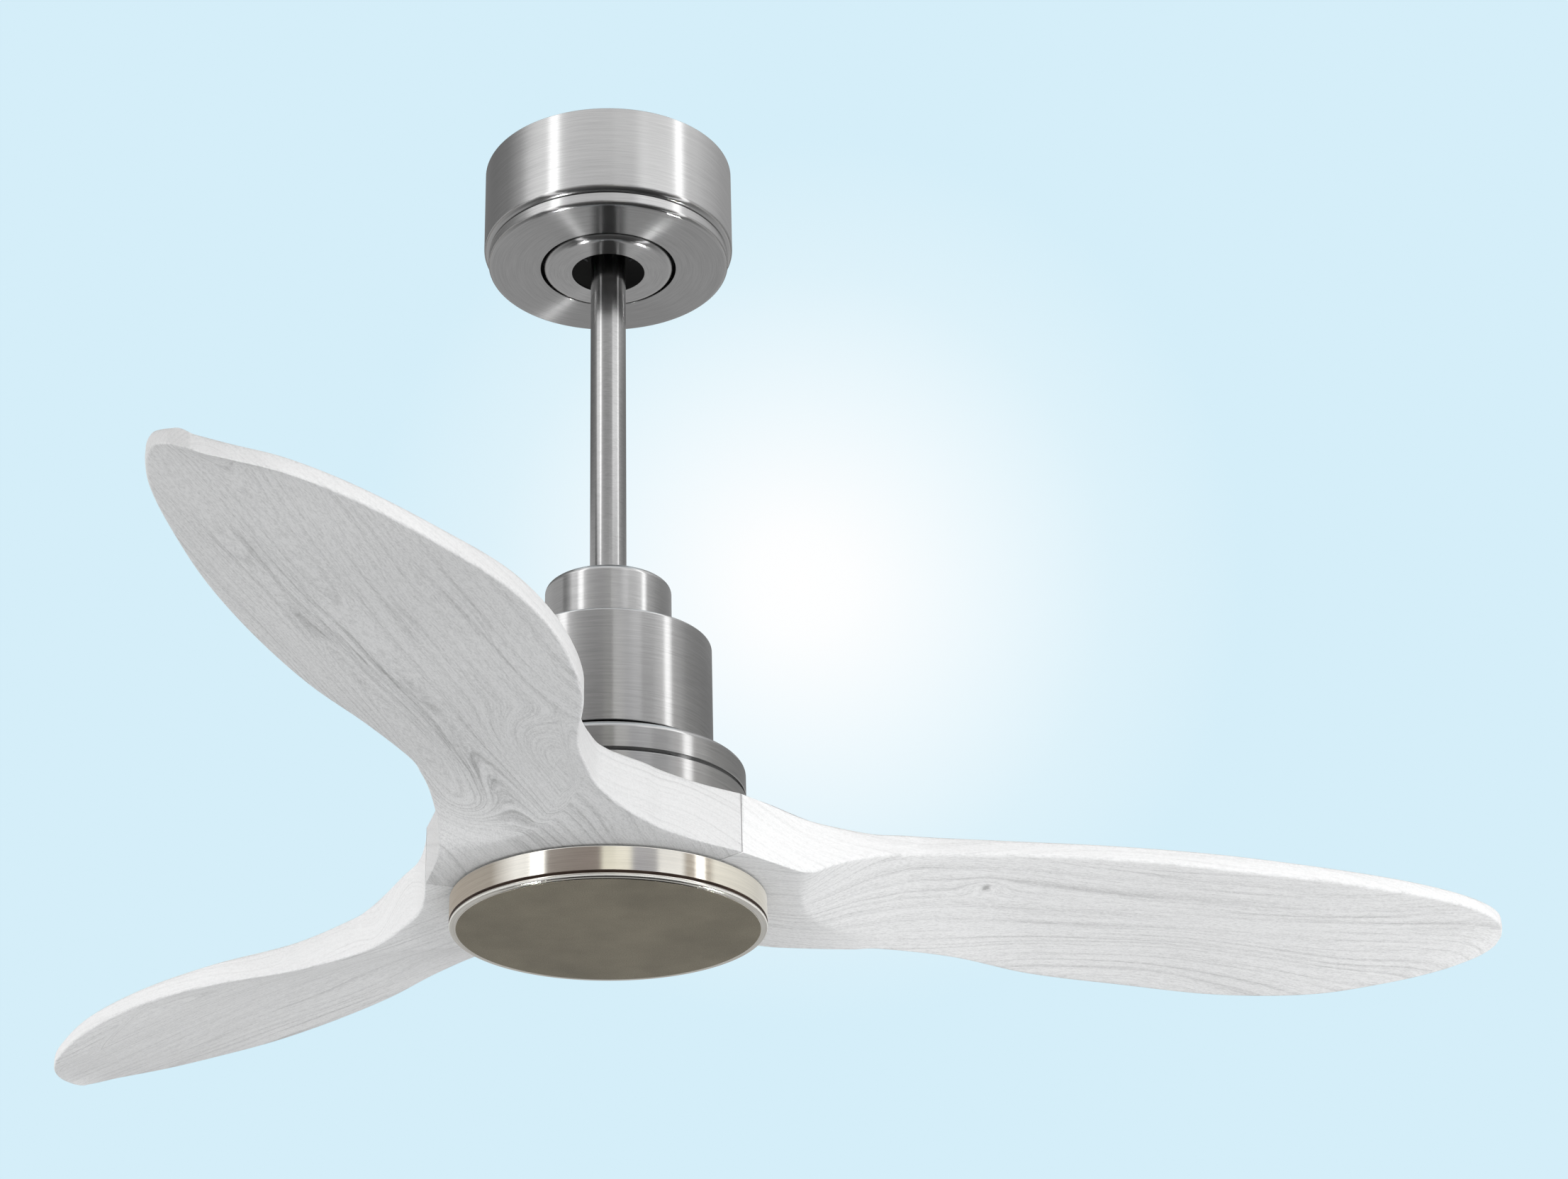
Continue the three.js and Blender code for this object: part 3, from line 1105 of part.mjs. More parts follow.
// Turning
add('motor_shell_upper', 'brushed_nickel', motorShellUpper());
add('motor_shell_lower', 'brushed_nickel', motorShellLower());
add('magnet_ring', 'magnet_dark', magnetRing());
const shellScrew = moved(screwUp(shellScrewLength), shellScrewCircle, 0, shellFloorZ + shellBossSink - seatGap);
shellScrewTurns().forEach((turn, n) => add(`shell_screw_${n + 1}`, 'zinc_steel', around(turn, shellScrew)));
const uncutBlade = plainBlade();
for (let n = 0; n < bladeCount; n += 1) add(`blade_${n + 1}`, 'white_wood', blade(n, uncutBlade));
add('blade_clamp_plate', 'zinc_steel', clampPlate());
const bladeScrew = screwUp(shellFloorZ + shellWall + bladeScrewTipRise - bladeScrewSeatZ);
bladeScrewSpots().forEach(([x, y], n) => add(`blade_screw_${n + 1}`, 'zinc_steel',
  moved(bladeScrew, x, y, bladeScrewSeatZ)));

// Light seat and its cap, still under the turning hub
add('light_kit_plate', 'zinc_steel', lightKitPlate());
add('light_kit_nut', 'zinc_steel', lightKitNut());
add('light_kit_plug', 'grey_plastic', lightKitPlug());
add('light_cap', 'satin_nickel', lightCap());

export default root;
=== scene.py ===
"""The looks of a three-bladed ceiling fan: brushed nickel, whitewashed wood, studio light."""
import math

import bmesh
import bpy
from mathutils import Matrix, Vector


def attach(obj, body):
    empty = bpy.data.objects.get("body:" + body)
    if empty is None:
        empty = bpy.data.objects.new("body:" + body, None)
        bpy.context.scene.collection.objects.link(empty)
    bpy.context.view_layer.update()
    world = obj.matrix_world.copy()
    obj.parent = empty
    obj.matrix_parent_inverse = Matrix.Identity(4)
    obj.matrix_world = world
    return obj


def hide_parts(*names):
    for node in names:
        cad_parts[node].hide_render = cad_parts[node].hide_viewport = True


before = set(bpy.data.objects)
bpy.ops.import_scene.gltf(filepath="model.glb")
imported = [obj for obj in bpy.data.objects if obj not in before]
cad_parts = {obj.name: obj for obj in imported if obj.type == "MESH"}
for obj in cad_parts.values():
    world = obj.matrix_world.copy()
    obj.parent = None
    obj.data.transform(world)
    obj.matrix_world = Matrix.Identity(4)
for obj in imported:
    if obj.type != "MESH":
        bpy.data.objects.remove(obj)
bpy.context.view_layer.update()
MM = 0.001


# Node trees


class Graph:
    """Builds one node tree: an input takes a number, a colour or another node's output."""

    def __init__(self, tree):
        self.tree = tree
        tree.nodes.clear()

    def node(self, kind, inputs=(), **settings):
        made = self.tree.nodes.new("ShaderNode" + kind)
        for key, value in settings.items():
            setattr(made, key, value)
        for key, value in dict(inputs).items():
            if isinstance(value, bpy.types.NodeSocket):
                self.tree.links.new(value, made.inputs[key])
            elif isinstance(value, tuple) and len(value) == 3 and made.inputs[key].type == "RGBA":
                made.inputs[key].default_value = (*value, 1)
            else:
                made.inputs[key].default_value = value
        return made

    def place(self):
        """The shaded point, in metres of its own object."""
        return self.node("TexCoord").outputs["Object"]

    def math(self, operation, first, second=0.0, third=0.0):
        return self.node("Math", {0: first, 1: second, 2: third}, operation=operation).outputs[0]

    def vector(self, operation, first, second):
        made = self.node("VectorMath", {0: first, 1: second}, operation=operation)
        return made.outputs["Value" if operation in ("DOT_PRODUCT", "LENGTH") else "Vector"]

    def parts(self, vector):
        return self.node("SeparateXYZ", {0: vector}).outputs

    def joined(self, x, y, z):
        return self.node("CombineXYZ", {0: x, 1: y, 2: z}).outputs[0]

    def noise(self, vector, scale, detail, rough=0.5):
        inputs = {"Vector": vector, "Scale": scale, "Detail": detail, "Roughness": rough}
        return self.node("TexNoise", inputs).outputs[0]

    def noise_4d(self, vector, w, scale, detail):
        return self.node("TexNoise", {"Vector": vector, "W": w, "Scale": scale, "Detail": detail},
                         noise_dimensions="4D").outputs[0]

    def ramp(self, factor, stops):
        """Colours (or, from single numbers, greys) between places from 0 to 1."""
        made = self.node("ValToRGB", {0: factor})
        bar = made.color_ramp
        while len(bar.elements) < len(stops):
            bar.elements.new(0.5)
        for element, (place, colour) in zip(bar.elements, stops):
            element.position = place
            element.color = (*colour, 1) if isinstance(colour, tuple) else (colour, colour, colour, 1)
        return made.outputs[0]

    def mix(self, factor, first, second, blend="MIX"):
        """A mix of two colours, by the sockets that a mix node has for colours."""
        made = self.tree.nodes.new("ShaderNodeMix")
        made.data_type = "RGBA"
        made.blend_type = blend
        for key, value in ((0, factor), (6, first), (7, second)):
            if isinstance(value, bpy.types.NodeSocket):
                self.tree.links.new(value, made.inputs[key])
            else:
                made.inputs[key].default_value = (*value, 1) if isinstance(value, tuple) else value
        return made.outputs[2]

    def bump(self, height, distance, strength):
        return self.node("Bump", {"Height": height, "Distance": distance, "Strength": strength}).outputs[0]

    def surface(self, colour, metallic, roughness, normal=None, extra=()):
        inputs = {"Base Color": colour, "Metallic": metallic, "Roughness": roughness}
        if normal is not None:
            inputs["Normal"] = normal
        inputs.update(dict(extra))
        shader = self.node("BsdfPrincipled", inputs)
        self.node("OutputMaterial", {"Surface": shader.outputs[0]})

    def glow(self, colour):
        shader = self.node("Emission", {"Color": colour, "Strength": 1.0})
        self.node("OutputMaterial", {"Surface": shader.outputs[0]})


def new_material(name):
    material = bpy.data.materials.new(name)
    material.use_nodes = True
    return material, Graph(material.node_tree)


# Camera, light and floor, in metres

CAMERA_PITCH = 25.74  # degrees above level
FAN_MIDDLE = (0, 0, -0.3)
CANOPY_FACE = (0, 0, -0.07)
WORLD_LIGHT = 0.45
WALL_BLUE = (0.665, 0.855, 0.947)
GLOW_DIRECTION = Vector((0.0661, 0.8996, 0.4368)).normalized()


def make_camera():
    """The photograph's camera: below and in front of the fan, looking up at it."""
    data = bpy.data.cameras.new("camera")
    data.lens = 66.97
    data.sensor_width = 36
    data.shift_x = 0.1121
    camera = bpy.data.objects.new("camera", data)
    camera.location = (0, -1.5229, -1.0179)
    camera.rotation_euler = (math.radians(90 + CAMERA_PITCH), 0, 0)
    bpy.context.scene.collection.objects.link(camera)
    bpy.context.scene.camera = camera


def picture_rays(graph):
    """1 for the rays that show a picture, 0 for those that light the object."""
    path = graph.node("LightPath")
    glossy, clear = path.outputs["Is Glossy Ray"], path.outputs["Is Transmission Ray"]
    return graph.math("MAXIMUM", path.outputs["Is Camera Ray"], graph.math("MAXIMUM", glossy, clear))


def make_world():
    """Even light for the object. The camera and the metal see a pale blue wall with a white glow."""
    world = bpy.data.worlds.new("studio")
    bpy.context.scene.world = world
    world.use_nodes = True
    graph = Graph(world.node_tree)
    towards = graph.node("TexCoord").outputs["Generated"]
    off_glow = graph.math("ARCCOSINE", graph.vector("DOT_PRODUCT", towards, GLOW_DIRECTION))
    wall = graph.ramp(off_glow, [
        (0.000, (1.0, 1.0, 1.0)), (0.018, (0.985, 0.995, 1.0)), (0.060, (0.86, 0.945, 0.985)),
        (0.105, (0.73, 0.885, 0.957)), (0.150, WALL_BLUE), (0.600, WALL_BLUE), (0.999, (0.80, 0.85, 0.88)),
    ])
    light = graph.node("Background", {"Color": (1, 1, 1, 1), "Strength": WORLD_LIGHT})
    picture = graph.node("Background", {"Color": wall, "Strength": 1})
    both = graph.node("MixShader", {0: picture_rays(graph), 1: light.outputs[0], 2: picture.outputs[0]})
    graph.node("OutputWorld", {"Surface": both.outputs[0]})


def soft_lamp(name, place, width, height, watts, shows=False, aim=FAN_MIDDLE):
    """A soft box turned towards the fan. Metal mirrors it only where it shows."""
    data = bpy.data.lights.new(name, "AREA")
    data.shape = "RECTANGLE"
    data.size, data.size_y = width, height
    data.energy = watts
    lamp = bpy.data.objects.new(name, data)
    lamp.location = place
    lamp.rotation_euler = (Vector(place) - Vector(aim)).to_track_quat("Z", "Y").to_euler()
    lamp.visible_camera = False
    lamp.visible_glossy = shows
    bpy.context.scene.collection.objects.link(lamp)
    return lamp


def strip_lamp(name, azimuth, width, watts, distance=1.15, height=3.3, z=0.1):
    """An upright strip whose mirror image is a bright line on brushed metal."""
    turn = math.radians(azimuth)
    place = (distance * math.sin(turn), -distance * math.cos(turn), z)
    lamp = soft_lamp(name, place, width, height, watts, shows=True, aim=(0, 0, z))
    lamp.visible_diffuse = False


def glint(name, place, watts, size=0.06):
    """A small light behind and below, which draws a bright ray across the brushed faces."""
    lamp = soft_lamp(name, place, size, size, watts, shows=True, aim=CANOPY_FACE)
    lamp.visible_diffuse = False


def azimuth_ramp(graph, turn, stops):
    """Greys or colours at azimuths in degrees from the front, right positive."""
    return graph.ramp(turn, [(0.5 + azimuth / 360, colour) for azimuth, colour in stops])


def tent_paint():
    """What the metal mirrors, in zones from the top down.

    They are made for the canopy, the rod, the motor, the cap's rim and the rolled edges.
    """
    material, graph = new_material("tent_paint")
    x, y, z = graph.parts(graph.place())[:3]
    from_front = graph.math("ARCTAN2", x, graph.math("MULTIPLY", y, -1))
    turn = graph.math("MULTIPLY_ADD", from_front, 0.5 / math.pi, 0.5)
    high = azimuth_ramp(graph, turn, [
        (-180, 0.22), (-128, 0.22), (-104, 0.28), (-87, 0.56), (-67, 1.02), (-40, 1.04), (-30, 1.02),
        (4, 1.02), (6, 1.08), (35, 1.08), (37, 1.02), (56, 1.04), (88, 1.04), (100, 0.84), (128, 0.54),
        (160, 0.38),
    ])
    middle = azimuth_ramp(graph, turn, [
        (-180, 0.14), (-140, 0.16), (-96, 0.30), (-82, 0.60), (-74, 1.70), (-46, 1.70), (-36, 0.60),
        (-18, 0.40), (6, 0.40), (22, 0.50), (30, 1.70), (60, 1.70), (70, 0.70), (84, 0.46), (104, 0.38),
        (150, 0.26),
    ])
    low = azimuth_ramp(graph, turn, [
        (-180, 0.22), (-90, 0.30), (-66, 0.80), (-36, 0.46), (-24, 0.22), (-14, 0.14), (4.5, 0.14),
        (5.2, 0.72), (35, 0.66), (35.7, 0.20), (48, 0.26), (60, 0.85), (80, 0.56), (94, 0.28), (122, 0.22),
    ])
    waist = azimuth_ramp(graph, turn, [
        (-180, 0.30), (-130, 0.70), (-92, 0.76), (-86, 0.04), (-73, 0.04), (-68, 0.90), (-36, 0.90),
        (36, 0.90), (60, 0.90), (84, 0.60), (110, 0.40),
    ])
    warm = azimuth_ramp(graph, turn, [
        (-90, (0.42, 0.38, 0.34)), (-67, (1.2, 1.2, 1.2)), (-46, (1.2, 1.2, 1.2)),
        (-43, (0.28, 0.24, 0.22)), (-6, (0.34, 0.29, 0.27)), (-3, (1.15, 1.12, 0.98)),
        (14, (1.15, 1.12, 1.0)), (18, (0.42, 0.42, 0.48)), (33, (0.46, 0.46, 0.50)),
        (36, (1.25, 1.25, 1.25)), (52, (1.25, 1.25, 1.25)), (56, (0.46, 0.40, 0.34)),
        (74, (0.50, 0.44, 0.37)), (80, (1.05, 1.03, 0.96)), (130, (0.70, 0.69, 0.66)),
    ])
    under = azimuth_ramp(graph, turn, [
        (-180, 0.50), (-125, 0.50), (-95, 0.36), (-60, 0.14), (60, 0.14), (95, 0.36), (125, 0.50),
    ])
    deep = azimuth_ramp(graph, turn, [
        (-180, 0.47), (-125, 0.45), (-95, 0.26), (-60, 0.06), (60, 0.06), (95, 0.26), (125, 0.45),
    ])
    shade = deep
    # Heights on the tent's wall between which one zone gives way to the next.
    for bottom, top, colour in (
            (-0.60, -0.50, under), (-0.10, -0.09, warm), (-0.01, 0.0, low), (0.22, 0.26, waist),
            (0.38, 0.42, middle), (0.62, 0.66, high)):
        share = graph.node("MapRange", {"Value": z, "From Min": bottom, "From Max": top}).outputs[0]
        shade = graph.mix(share, shade, colour)
    graph.glow(shade)
    return material


def floor_paint():
    """Dark, and lighter towards the back."""
    material, graph = new_material("tent_floor_paint")
    y = graph.parts(graph.place())[1]
    graph.glow(graph.ramp(graph.math("MULTIPLY_ADD", y, 0.4, 0.5), [(0.0, 0.03), (0.5, 0.03), (0.95, 0.30)]))
    return material


def card(name, points, faces, material):
    """A studio card that only reflections see."""
    mesh = bpy.data.meshes.new(name)
    mesh.from_pydata(points, [], faces)
    mesh.materials.append(material)
    made = bpy.data.objects.new(name, mesh)
    made.visible_camera = made.visible_diffuse = made.visible_shadow = False
    bpy.context.scene.collection.objects.link(made)


def make_tent(radius=1.25, low=-1.9, high=1.9, sides=72):
    """A round tent of cards close round the fan."""
    ring = [(radius * math.sin(2 * math.pi * i / sides), -radius * math.cos(2 * math.pi * i / sides))
            for i in range(sides)]
    points = [(x, y, z) for z in (low, high) for x, y in ring]
    walls = [(i, (i + 1) % sides, sides + (i + 1) % sides, sides + i) for i in range(sides)]
    card("tent_wall", points, walls, tent_paint())
    card("tent_floor", [(x, y, low) for x, y in ring], [tuple(range(sides))], floor_paint())


def make_studio():
    """Lamps for the wood, then those that the metal mirrors, then the tent."""
    soft_lamp("main_soft", (2.5, -2.4, -1.2), width=3.0, height=2.0, watts=95)
    soft_lamp("left_soft", (-3.0, -0.5, -0.4), width=2.0, height=2.0, watts=50)
    soft_lamp("top_soft", (0.2, 0.3, 2.6), width=2.6, height=2.6, watts=24)
    soft_lamp("low_soft", (0.3, -0.6, -3.0), width=2.4, height=2.4, watts=10)
    strip_lamp("left_strip", azimuth=-50, width=0.20, watts=2.2)
    strip_lamp("right_strip", azimuth=67, width=0.16, watts=2.2)
    glint("left_glint", (-0.489, 0.148, -1.48), watts=4.0)
    glint("right_glint", (0.552, 0.441, -1.39), watts=4.5)
    make_tent()


def make_floor(reach=90.0, level=-4.3, sides=96, glow=0.36):
    """A pale round floor, wide enough that its edge lies at the horizon."""
    mesh = bpy.data.meshes.new("floor")
    turns = [2 * math.pi * i / sides for i in range(sides)]
    points = [(reach * math.cos(turn), reach * math.sin(turn), level) for turn in turns]
    mesh.from_pydata(points, [], [tuple(range(sides))])
    floor = bpy.data.objects.new("floor", mesh)
    material, graph = new_material("pale_floor")
    patches = graph.noise(graph.place(), scale=0.8, detail=3)
    tint = graph.ramp(patches, [(0.35, (0.81, 0.82, 0.825)), (0.65, (0.85, 0.86, 0.865))])
    graph.surface(tint, 0.0, 0.8, extra={
        "Emission Color": (0.95, 0.97, 0.98, 1),
        "Emission Strength": graph.math("MULTIPLY", picture_rays(graph), glow)})
    mesh.materials.append(material)
    bpy.context.scene.collection.objects.link(floor)


# Materials


def turned_lines(graph, scale, stretch, detail):
    """Noise drawn out round the fan's axis, as a brush or cutting tool leaves it."""
    x, y, z = graph.parts(graph.place())[:3]
    flatness_sides_painted_lighter = graph.joined(x, y, 0.0)
    radius = graph.vector("LENGTH", flatness_sides_painted_lighter, (0, 0, 0))
    round_it = graph.node("VectorMath", {0: flatness_sides_painted_lighter}, operation="NORMALIZE").outputs[0]
    east, north = graph.parts(round_it)[:2]
    spread = graph.joined(radius, z, graph.math("MULTIPLY", east, stretch))
    return graph.noise_4d(spread, graph.math("MULTIPLY", north, stretch), scale, detail)


def nickel(name, colour, rough, line_depth, anisotropic, metallic=1.0):
    """Nickel brushed round its axis: highlights run out across the brushing."""
    material, graph = new_material(name)
    fine = turned_lines(graph, scale=1500, stretch=0.0022, detail=3)
    broad = turned_lines(graph, scale=420, stretch=0.0050, detail=2)
    smudge = graph.noise(graph.place(), scale=22, detail=3)
    light, dark = tuple(c * 1.10 for c in colour), tuple(c * 0.88 for c in colour)
    lines = graph.math("ADD", graph.math("MULTIPLY", fine, 0.7), graph.math("MULTIPLY", broad, 0.3))
    tint = graph.ramp(lines, [(0.30, dark), (0.52, colour), (0.75, light)])
    wear = graph.math("MULTIPLY_ADD", smudge, 0.05, rough - 0.045)
    roughness = graph.math("MULTIPLY_ADD", fine, 0.04, wear)
    graph.surface(tint, metallic, roughness, graph.bump(fine, line_depth, strength=0.5), {
        "Anisotropic": anisotropic, "Anisotropic Rotation": 0.25,
        "Tangent": graph.node("Tangent", direction_type="RADIAL", axis="Z").outputs[0]})
    return material


def cap_satin():
    """The light cap's face: blasted to a warm satin."""
    material, graph = new_material("cap_satin")
    place = graph.place()
    grain = graph.noise(place, scale=1500, detail=3)
    cloud = graph.noise(place, scale=26, detail=4, rough=0.6)
    tint = graph.ramp(cloud, [(0.32, (0.212, 0.190, 0.140)), (0.68, (0.286, 0.258, 0.194))])
    speck = graph.mix(0.40, tint, graph.ramp(grain, [(0.3, 0.25), (0.7, 0.85)]), "OVERLAY")
    roughness = graph.math("MULTIPLY_ADD", cloud, 0.10, 0.40)
    graph.surface(speck, 1.0, roughness, graph.bump(grain, distance=0.00003, strength=0.4))
    return material


RING = 0.0068  # metres between the wood's growth rings
HUB_FLAT, CARVED = -0.4729, -0.4715  # metres: where the flat hub ends and the carved underside begins


def hump(graph, value, middle, width):
    """A bell curve: 1 at the middle, fading over the width."""
    off = graph.math("MULTIPLY", graph.math("SUBTRACT", value, middle), 1 / width)
    return graph.math("EXPONENT", graph.math("MULTIPLY", graph.math("MULTIPLY", off, off), -1))


def drawn_out(graph, share, along, across, third, scale, detail, rough=0.5):
    """Noise drawn out along the grain, where lengths count only by this share."""
    vector = graph.joined(graph.math("MULTIPLY", along, share), across, third)
    return graph.noise(vector, scale, detail, rough)


def bend_grain(graph, across, blade, cathedrals, knots):
    """Bends the lines of the grain into arches and round knots, and marks the knots' dark cores."""
    along, over, height = blade
    carved = graph.node("MapRange", {"Value": height, "From Min": HUB_FLAT, "From Max": CARVED}).outputs[0]
    for start, run, middle, width, lift, way in cathedrals:
        arch = graph.node("MapRange", {"Value": along, "From Min": start, "From Max": start + way * run},
                          interpolation_type="SMOOTHSTEP").outputs[0]
        rise = graph.math("MULTIPLY", graph.math("MULTIPLY", hump(graph, over, middle, width), arch), carved)
        across = graph.math("MULTIPLY_ADD", rise, lift, across)
    cores = 0.0
    for knot_along, knot_across in knots:
        eye = graph.math(
            "MULTIPLY", hump(graph, along, knot_along, 0.011), hump(graph, over, knot_across, 0.008))
        across = graph.math("MULTIPLY_ADD", eye, 0.010, across)
        core = graph.math(
            "MULTIPLY", hump(graph, along, knot_along, 0.0020), hump(graph, over, knot_across, 0.0026))
        cores = graph.math("ADD", core, cores)
    return across, cores


def grain_darkness(graph, x, y, z, across):
    """How dark the growth rings, streaks, fibres and flecks make the board."""
    slow = drawn_out(graph, 0.06, x, across, 0.0, scale=38, detail=2)
    ring = graph.math("MULTIPLY_ADD", across, 1 / RING, graph.math("MULTIPLY", slow, 5.0))
    ring = graph.ramp(graph.math("FRACT", ring), [
        (0.0, 0.10), (0.30, 0.0), (0.62, 0.22), (0.88, 1.0), (0.97, 0.35), (1.0, 0.10)])
    strong = drawn_out(graph, 0.05, x, across, 0.3, scale=75, detail=2)
    strong = graph.ramp(strong, [(0.36, 0.10), (0.56, 0.45), (0.66, 1.0)])
    streak = drawn_out(graph, 0.020, x, across, 0.0, scale=420, detail=3, rough=0.6)
    streak = graph.ramp(streak, [(0.38, 0.0), (0.56, 0.35), (0.64, 1.0)])
    fibre = drawn_out(graph, 0.10, x, across, z, scale=1500, detail=3, rough=0.6)
    fleck = drawn_out(graph, 0.45, x, y, z, scale=1200, detail=2, rough=0.6)
    dark = graph.math("MULTIPLY", graph.math("MULTIPLY", ring, strong), 0.36)
    dark = graph.math("MULTIPLY_ADD", streak, 0.20, dark)
    dark = graph.math("MULTIPLY_ADD", graph.math("SUBTRACT", fibre, 0.5), 0.80, dark)
    return graph.math("MULTIPLY_ADD", graph.math("SUBTRACT", fleck, 0.5), 0.80, dark)


def streaked_strip(graph, x, across, blade, from_axis, slope, width):
    """Bold streaks along one strip of the blade, which end before its tip."""
    along, over = blade[:2]
    strip = hump(graph, graph.math("MULTIPLY_ADD", along, -slope, over), from_axis, width)
    bold = drawn_out(graph, 0.035, x, across, 0.7, scale=330, detail=3, rough=0.65)
    bold = graph.ramp(bold, [(0.44, 0.0), (0.58, 0.5), (0.66, 1.0)])
    before_tip = graph.node("MapRange", {
        "Value": along, "From Min": 0.44, "From Max": 0.49, "To Min": 1.0, "To Max": 0.0}).outputs[0]
    return graph.math("MULTIPLY", graph.math("MULTIPLY", strip, before_tip), bold)


def wood(name, seed, azimuth, wash_with_painted_light, cathedrals=(), knots=(), streaked=None):
    """Whitewashed board, its grain along the blade that stands at this azimuth, its wash brightness with
    painted light and shade in it.

    A cathedral is (along, run, across, width, lift, way): rings that close in arches.
    A knot is (along, across). A streaked strip is (across at the axis, slope, width).
    """
    material, graph = new_material(name)
    board = graph.node(
        "VectorRotate", {"Vector": graph.place(), "Angle": -azimuth}, rotation_type="Z_AXIS").outputs[0]
    blade = graph.parts(board)[:3]
    place = graph.vector("ADD", board, (seed * 0.73, seed * 0.41, seed * 0.19))
    x, y, z = graph.parts(place)[:3]
    drift = graph.noise(graph.vector("MULTIPLY", place, (2.2, 7.0, 7.0)), scale=1.0, detail=2)
    wander = graph.math("MULTIPLY_ADD", drift, 0.060, graph.math("MULTIPLY", x, 0.03))
    across = graph.math("ADD", graph.math("MULTIPLY_ADD", z, 1.4, y), wander)
    across, cores = bend_grain(graph, across, blade, cathedrals, knots)
    dark = grain_darkness(graph, x, y, z, across)
    if knots:
        dark = graph.math("MULTIPLY_ADD", cores, 0.9, dark)
    if streaked:
        dark = graph.math("MULTIPLY_ADD", streaked_strip(graph, x, across, blade, *streaked), 0.55, dark)
    # Side faces keep less of the grain's darkness, so the blades' edges come out paler: fainter grain there,
    # and painted light.
    flatness_sides_painted_lighter = graph.math("ABSOLUTE", graph.parts(graph.node("TexCoord").outputs["Normal"])[2])
    shade = graph.node("MapRange", {"Value": dark, "From Min": -0.05, "From Max": 0.75}).outputs[0]
    shade = graph.math("MULTIPLY", shade, graph.math("MULTIPLY_ADD", flatness_sides_painted_lighter, 0.55, 0.45))
    cloud = graph.noise(place, scale=9, detail=3)
    pale = graph.ramp(cloud, [(0.3, (wash_with_painted_light * 1.08,) * 3), (0.7, (wash_with_painted_light * 1.13,) * 3)])
    tint = graph.mix(shade, pale, (wash_with_painted_light * 0.54,) * 3)
    roughness = graph.math("MULTIPLY_ADD", shade, 0.15, 0.50)
    depth = graph.math("SUBTRACT", 1.0, shade)
    normal = graph.bump(depth, distance=0.00012, strength=0.5)
    graph.surface(tint, 0.0, roughness, normal, {"Specular IOR Level": 0.35})
    return material


def zinc():
    """Zinc-plated steel: faint crystals and scratches."""
    material, graph = new_material("zinc")
    place = graph.place()
    cells = graph.node("TexVoronoi", {"Vector": place, "Scale": 260.0}).outputs["Color"]
    spangle = graph.node("RGBToBW", {0: cells}).outputs[0]
    scratch = graph.noise(graph.vector("MULTIPLY", place, (0.08, 1, 1)), scale=1500, detail=3)
    both = graph.math("MULTIPLY_ADD", spangle, 0.5, graph.math("MULTIPLY", scratch, 0.5))
    tint = graph.ramp(both, [(0.25, (0.40, 0.42, 0.45)), (0.75, (0.60, 0.61, 0.62))])
    roughness = graph.math("MULTIPLY_ADD", both, 0.20, 0.26)
    graph.surface(tint, 1.0, roughness, graph.bump(scratch, distance=0.00004, strength=0.4))
    return material


def painted_shade_lining():
    """The unpolished inside of a spun cup, dull and streaked, and near black: painted shade where the
    ceiling would close the cup.
    """
    material, graph = new_material("painted_shade_lining")
    streaks = turned_lines(graph, scale=500, stretch=0.0040, detail=3)
    stain = graph.noise(graph.place(), scale=40, detail=3)
    stained = graph.ramp(stain, [(0.35, 0.0), (0.7, 1.0)])
    # Both tints are near black: painted shade, varied by stains.
    tint = graph.mix(stained, (0.010, 0.010, 0.010), (0.020, 0.020, 0.019))
    roughness = graph.math("MULTIPLY_ADD", streaks, 0.2, 0.50)
    normal = graph.bump(streaks, distance=0.00006, strength=0.5)
    graph.surface(tint, 0.1, roughness, normal, {"Specular IOR Level": 0.1})
    return material


def cast_metal():
    """Dark metal with a rough cast skin."""
    material, graph = new_material("cast_metal")
    place = graph.place()
    skin = graph.noise(place, scale=700, detail=4, rough=0.65)
    patch = graph.noise(place, scale=60, detail=3)
    tint = graph.ramp(patch, [(0.3, (0.09, 0.093, 0.10)), (0.7, (0.15, 0.153, 0.16))])
    roughness = graph.math("MULTIPLY_ADD", skin, 0.25, 0.42)
    graph.surface(tint, 0.85, roughness, graph.bump(skin, distance=0.0003, strength=0.6))
    return material


def plastic(name, low, high, rough, grain_scale, specular=0.5):
    """Moulded plastic with a fine etched grain."""
    material, graph = new_material(name)
    place = graph.place()
    grain = graph.noise(place, scale=grain_scale, detail=3, rough=0.6)
    cloud = graph.noise(place, scale=45, detail=3)
    tint = graph.ramp(cloud, [(0.3, low), (0.7, high)])
    roughness = graph.math("MULTIPLY_ADD", grain, 0.14, rough - 0.07)
    normal = graph.bump(grain, distance=0.00008, strength=0.5)
    graph.surface(tint, 0.0, roughness, normal, {"Specular IOR Level": specular})
    return material


def green_screw():
    """Green coating, worn through to the steel in specks."""
    material, graph = new_material("green_screw")
    place = graph.place()
    wear = graph.noise(place, scale=900, detail=4, rough=0.6)
    tint = graph.ramp(wear, [
        (0.3, (0.015, 0.16, 0.05)), (0.62, (0.03, 0.27, 0.09)), (0.75, (0.42, 0.46, 0.42))])
    roughness = graph.math("MULTIPLY_ADD", wear, 0.3, 0.25)
    graph.surface(tint, 0.7, roughness, graph.bump(wear, distance=0.00004, strength=0.4))
    return material


def circuit_board():
    """Green lacquer over copper tracks."""
    material, graph = new_material("circuit_board")
    place = graph.place()
    cells = graph.node("TexVoronoi", {"Vector": place, "Scale": 210.0}, distance="MANHATTAN", feature="F1")
    track = graph.ramp(cells.outputs["Distance"], [(0.42, 0.0), (0.46, 1.0), (0.56, 1.0), (0.60, 0.0)])
    tint = graph.mix(track, (0.006, 0.075, 0.028), (0.018, 0.17, 0.062))
    roughness = graph.math("MULTIPLY_ADD", track, -0.1, 0.38)
    graph.surface(tint, 0.0, roughness, graph.bump(track, distance=0.00006, strength=0.6))
    return material


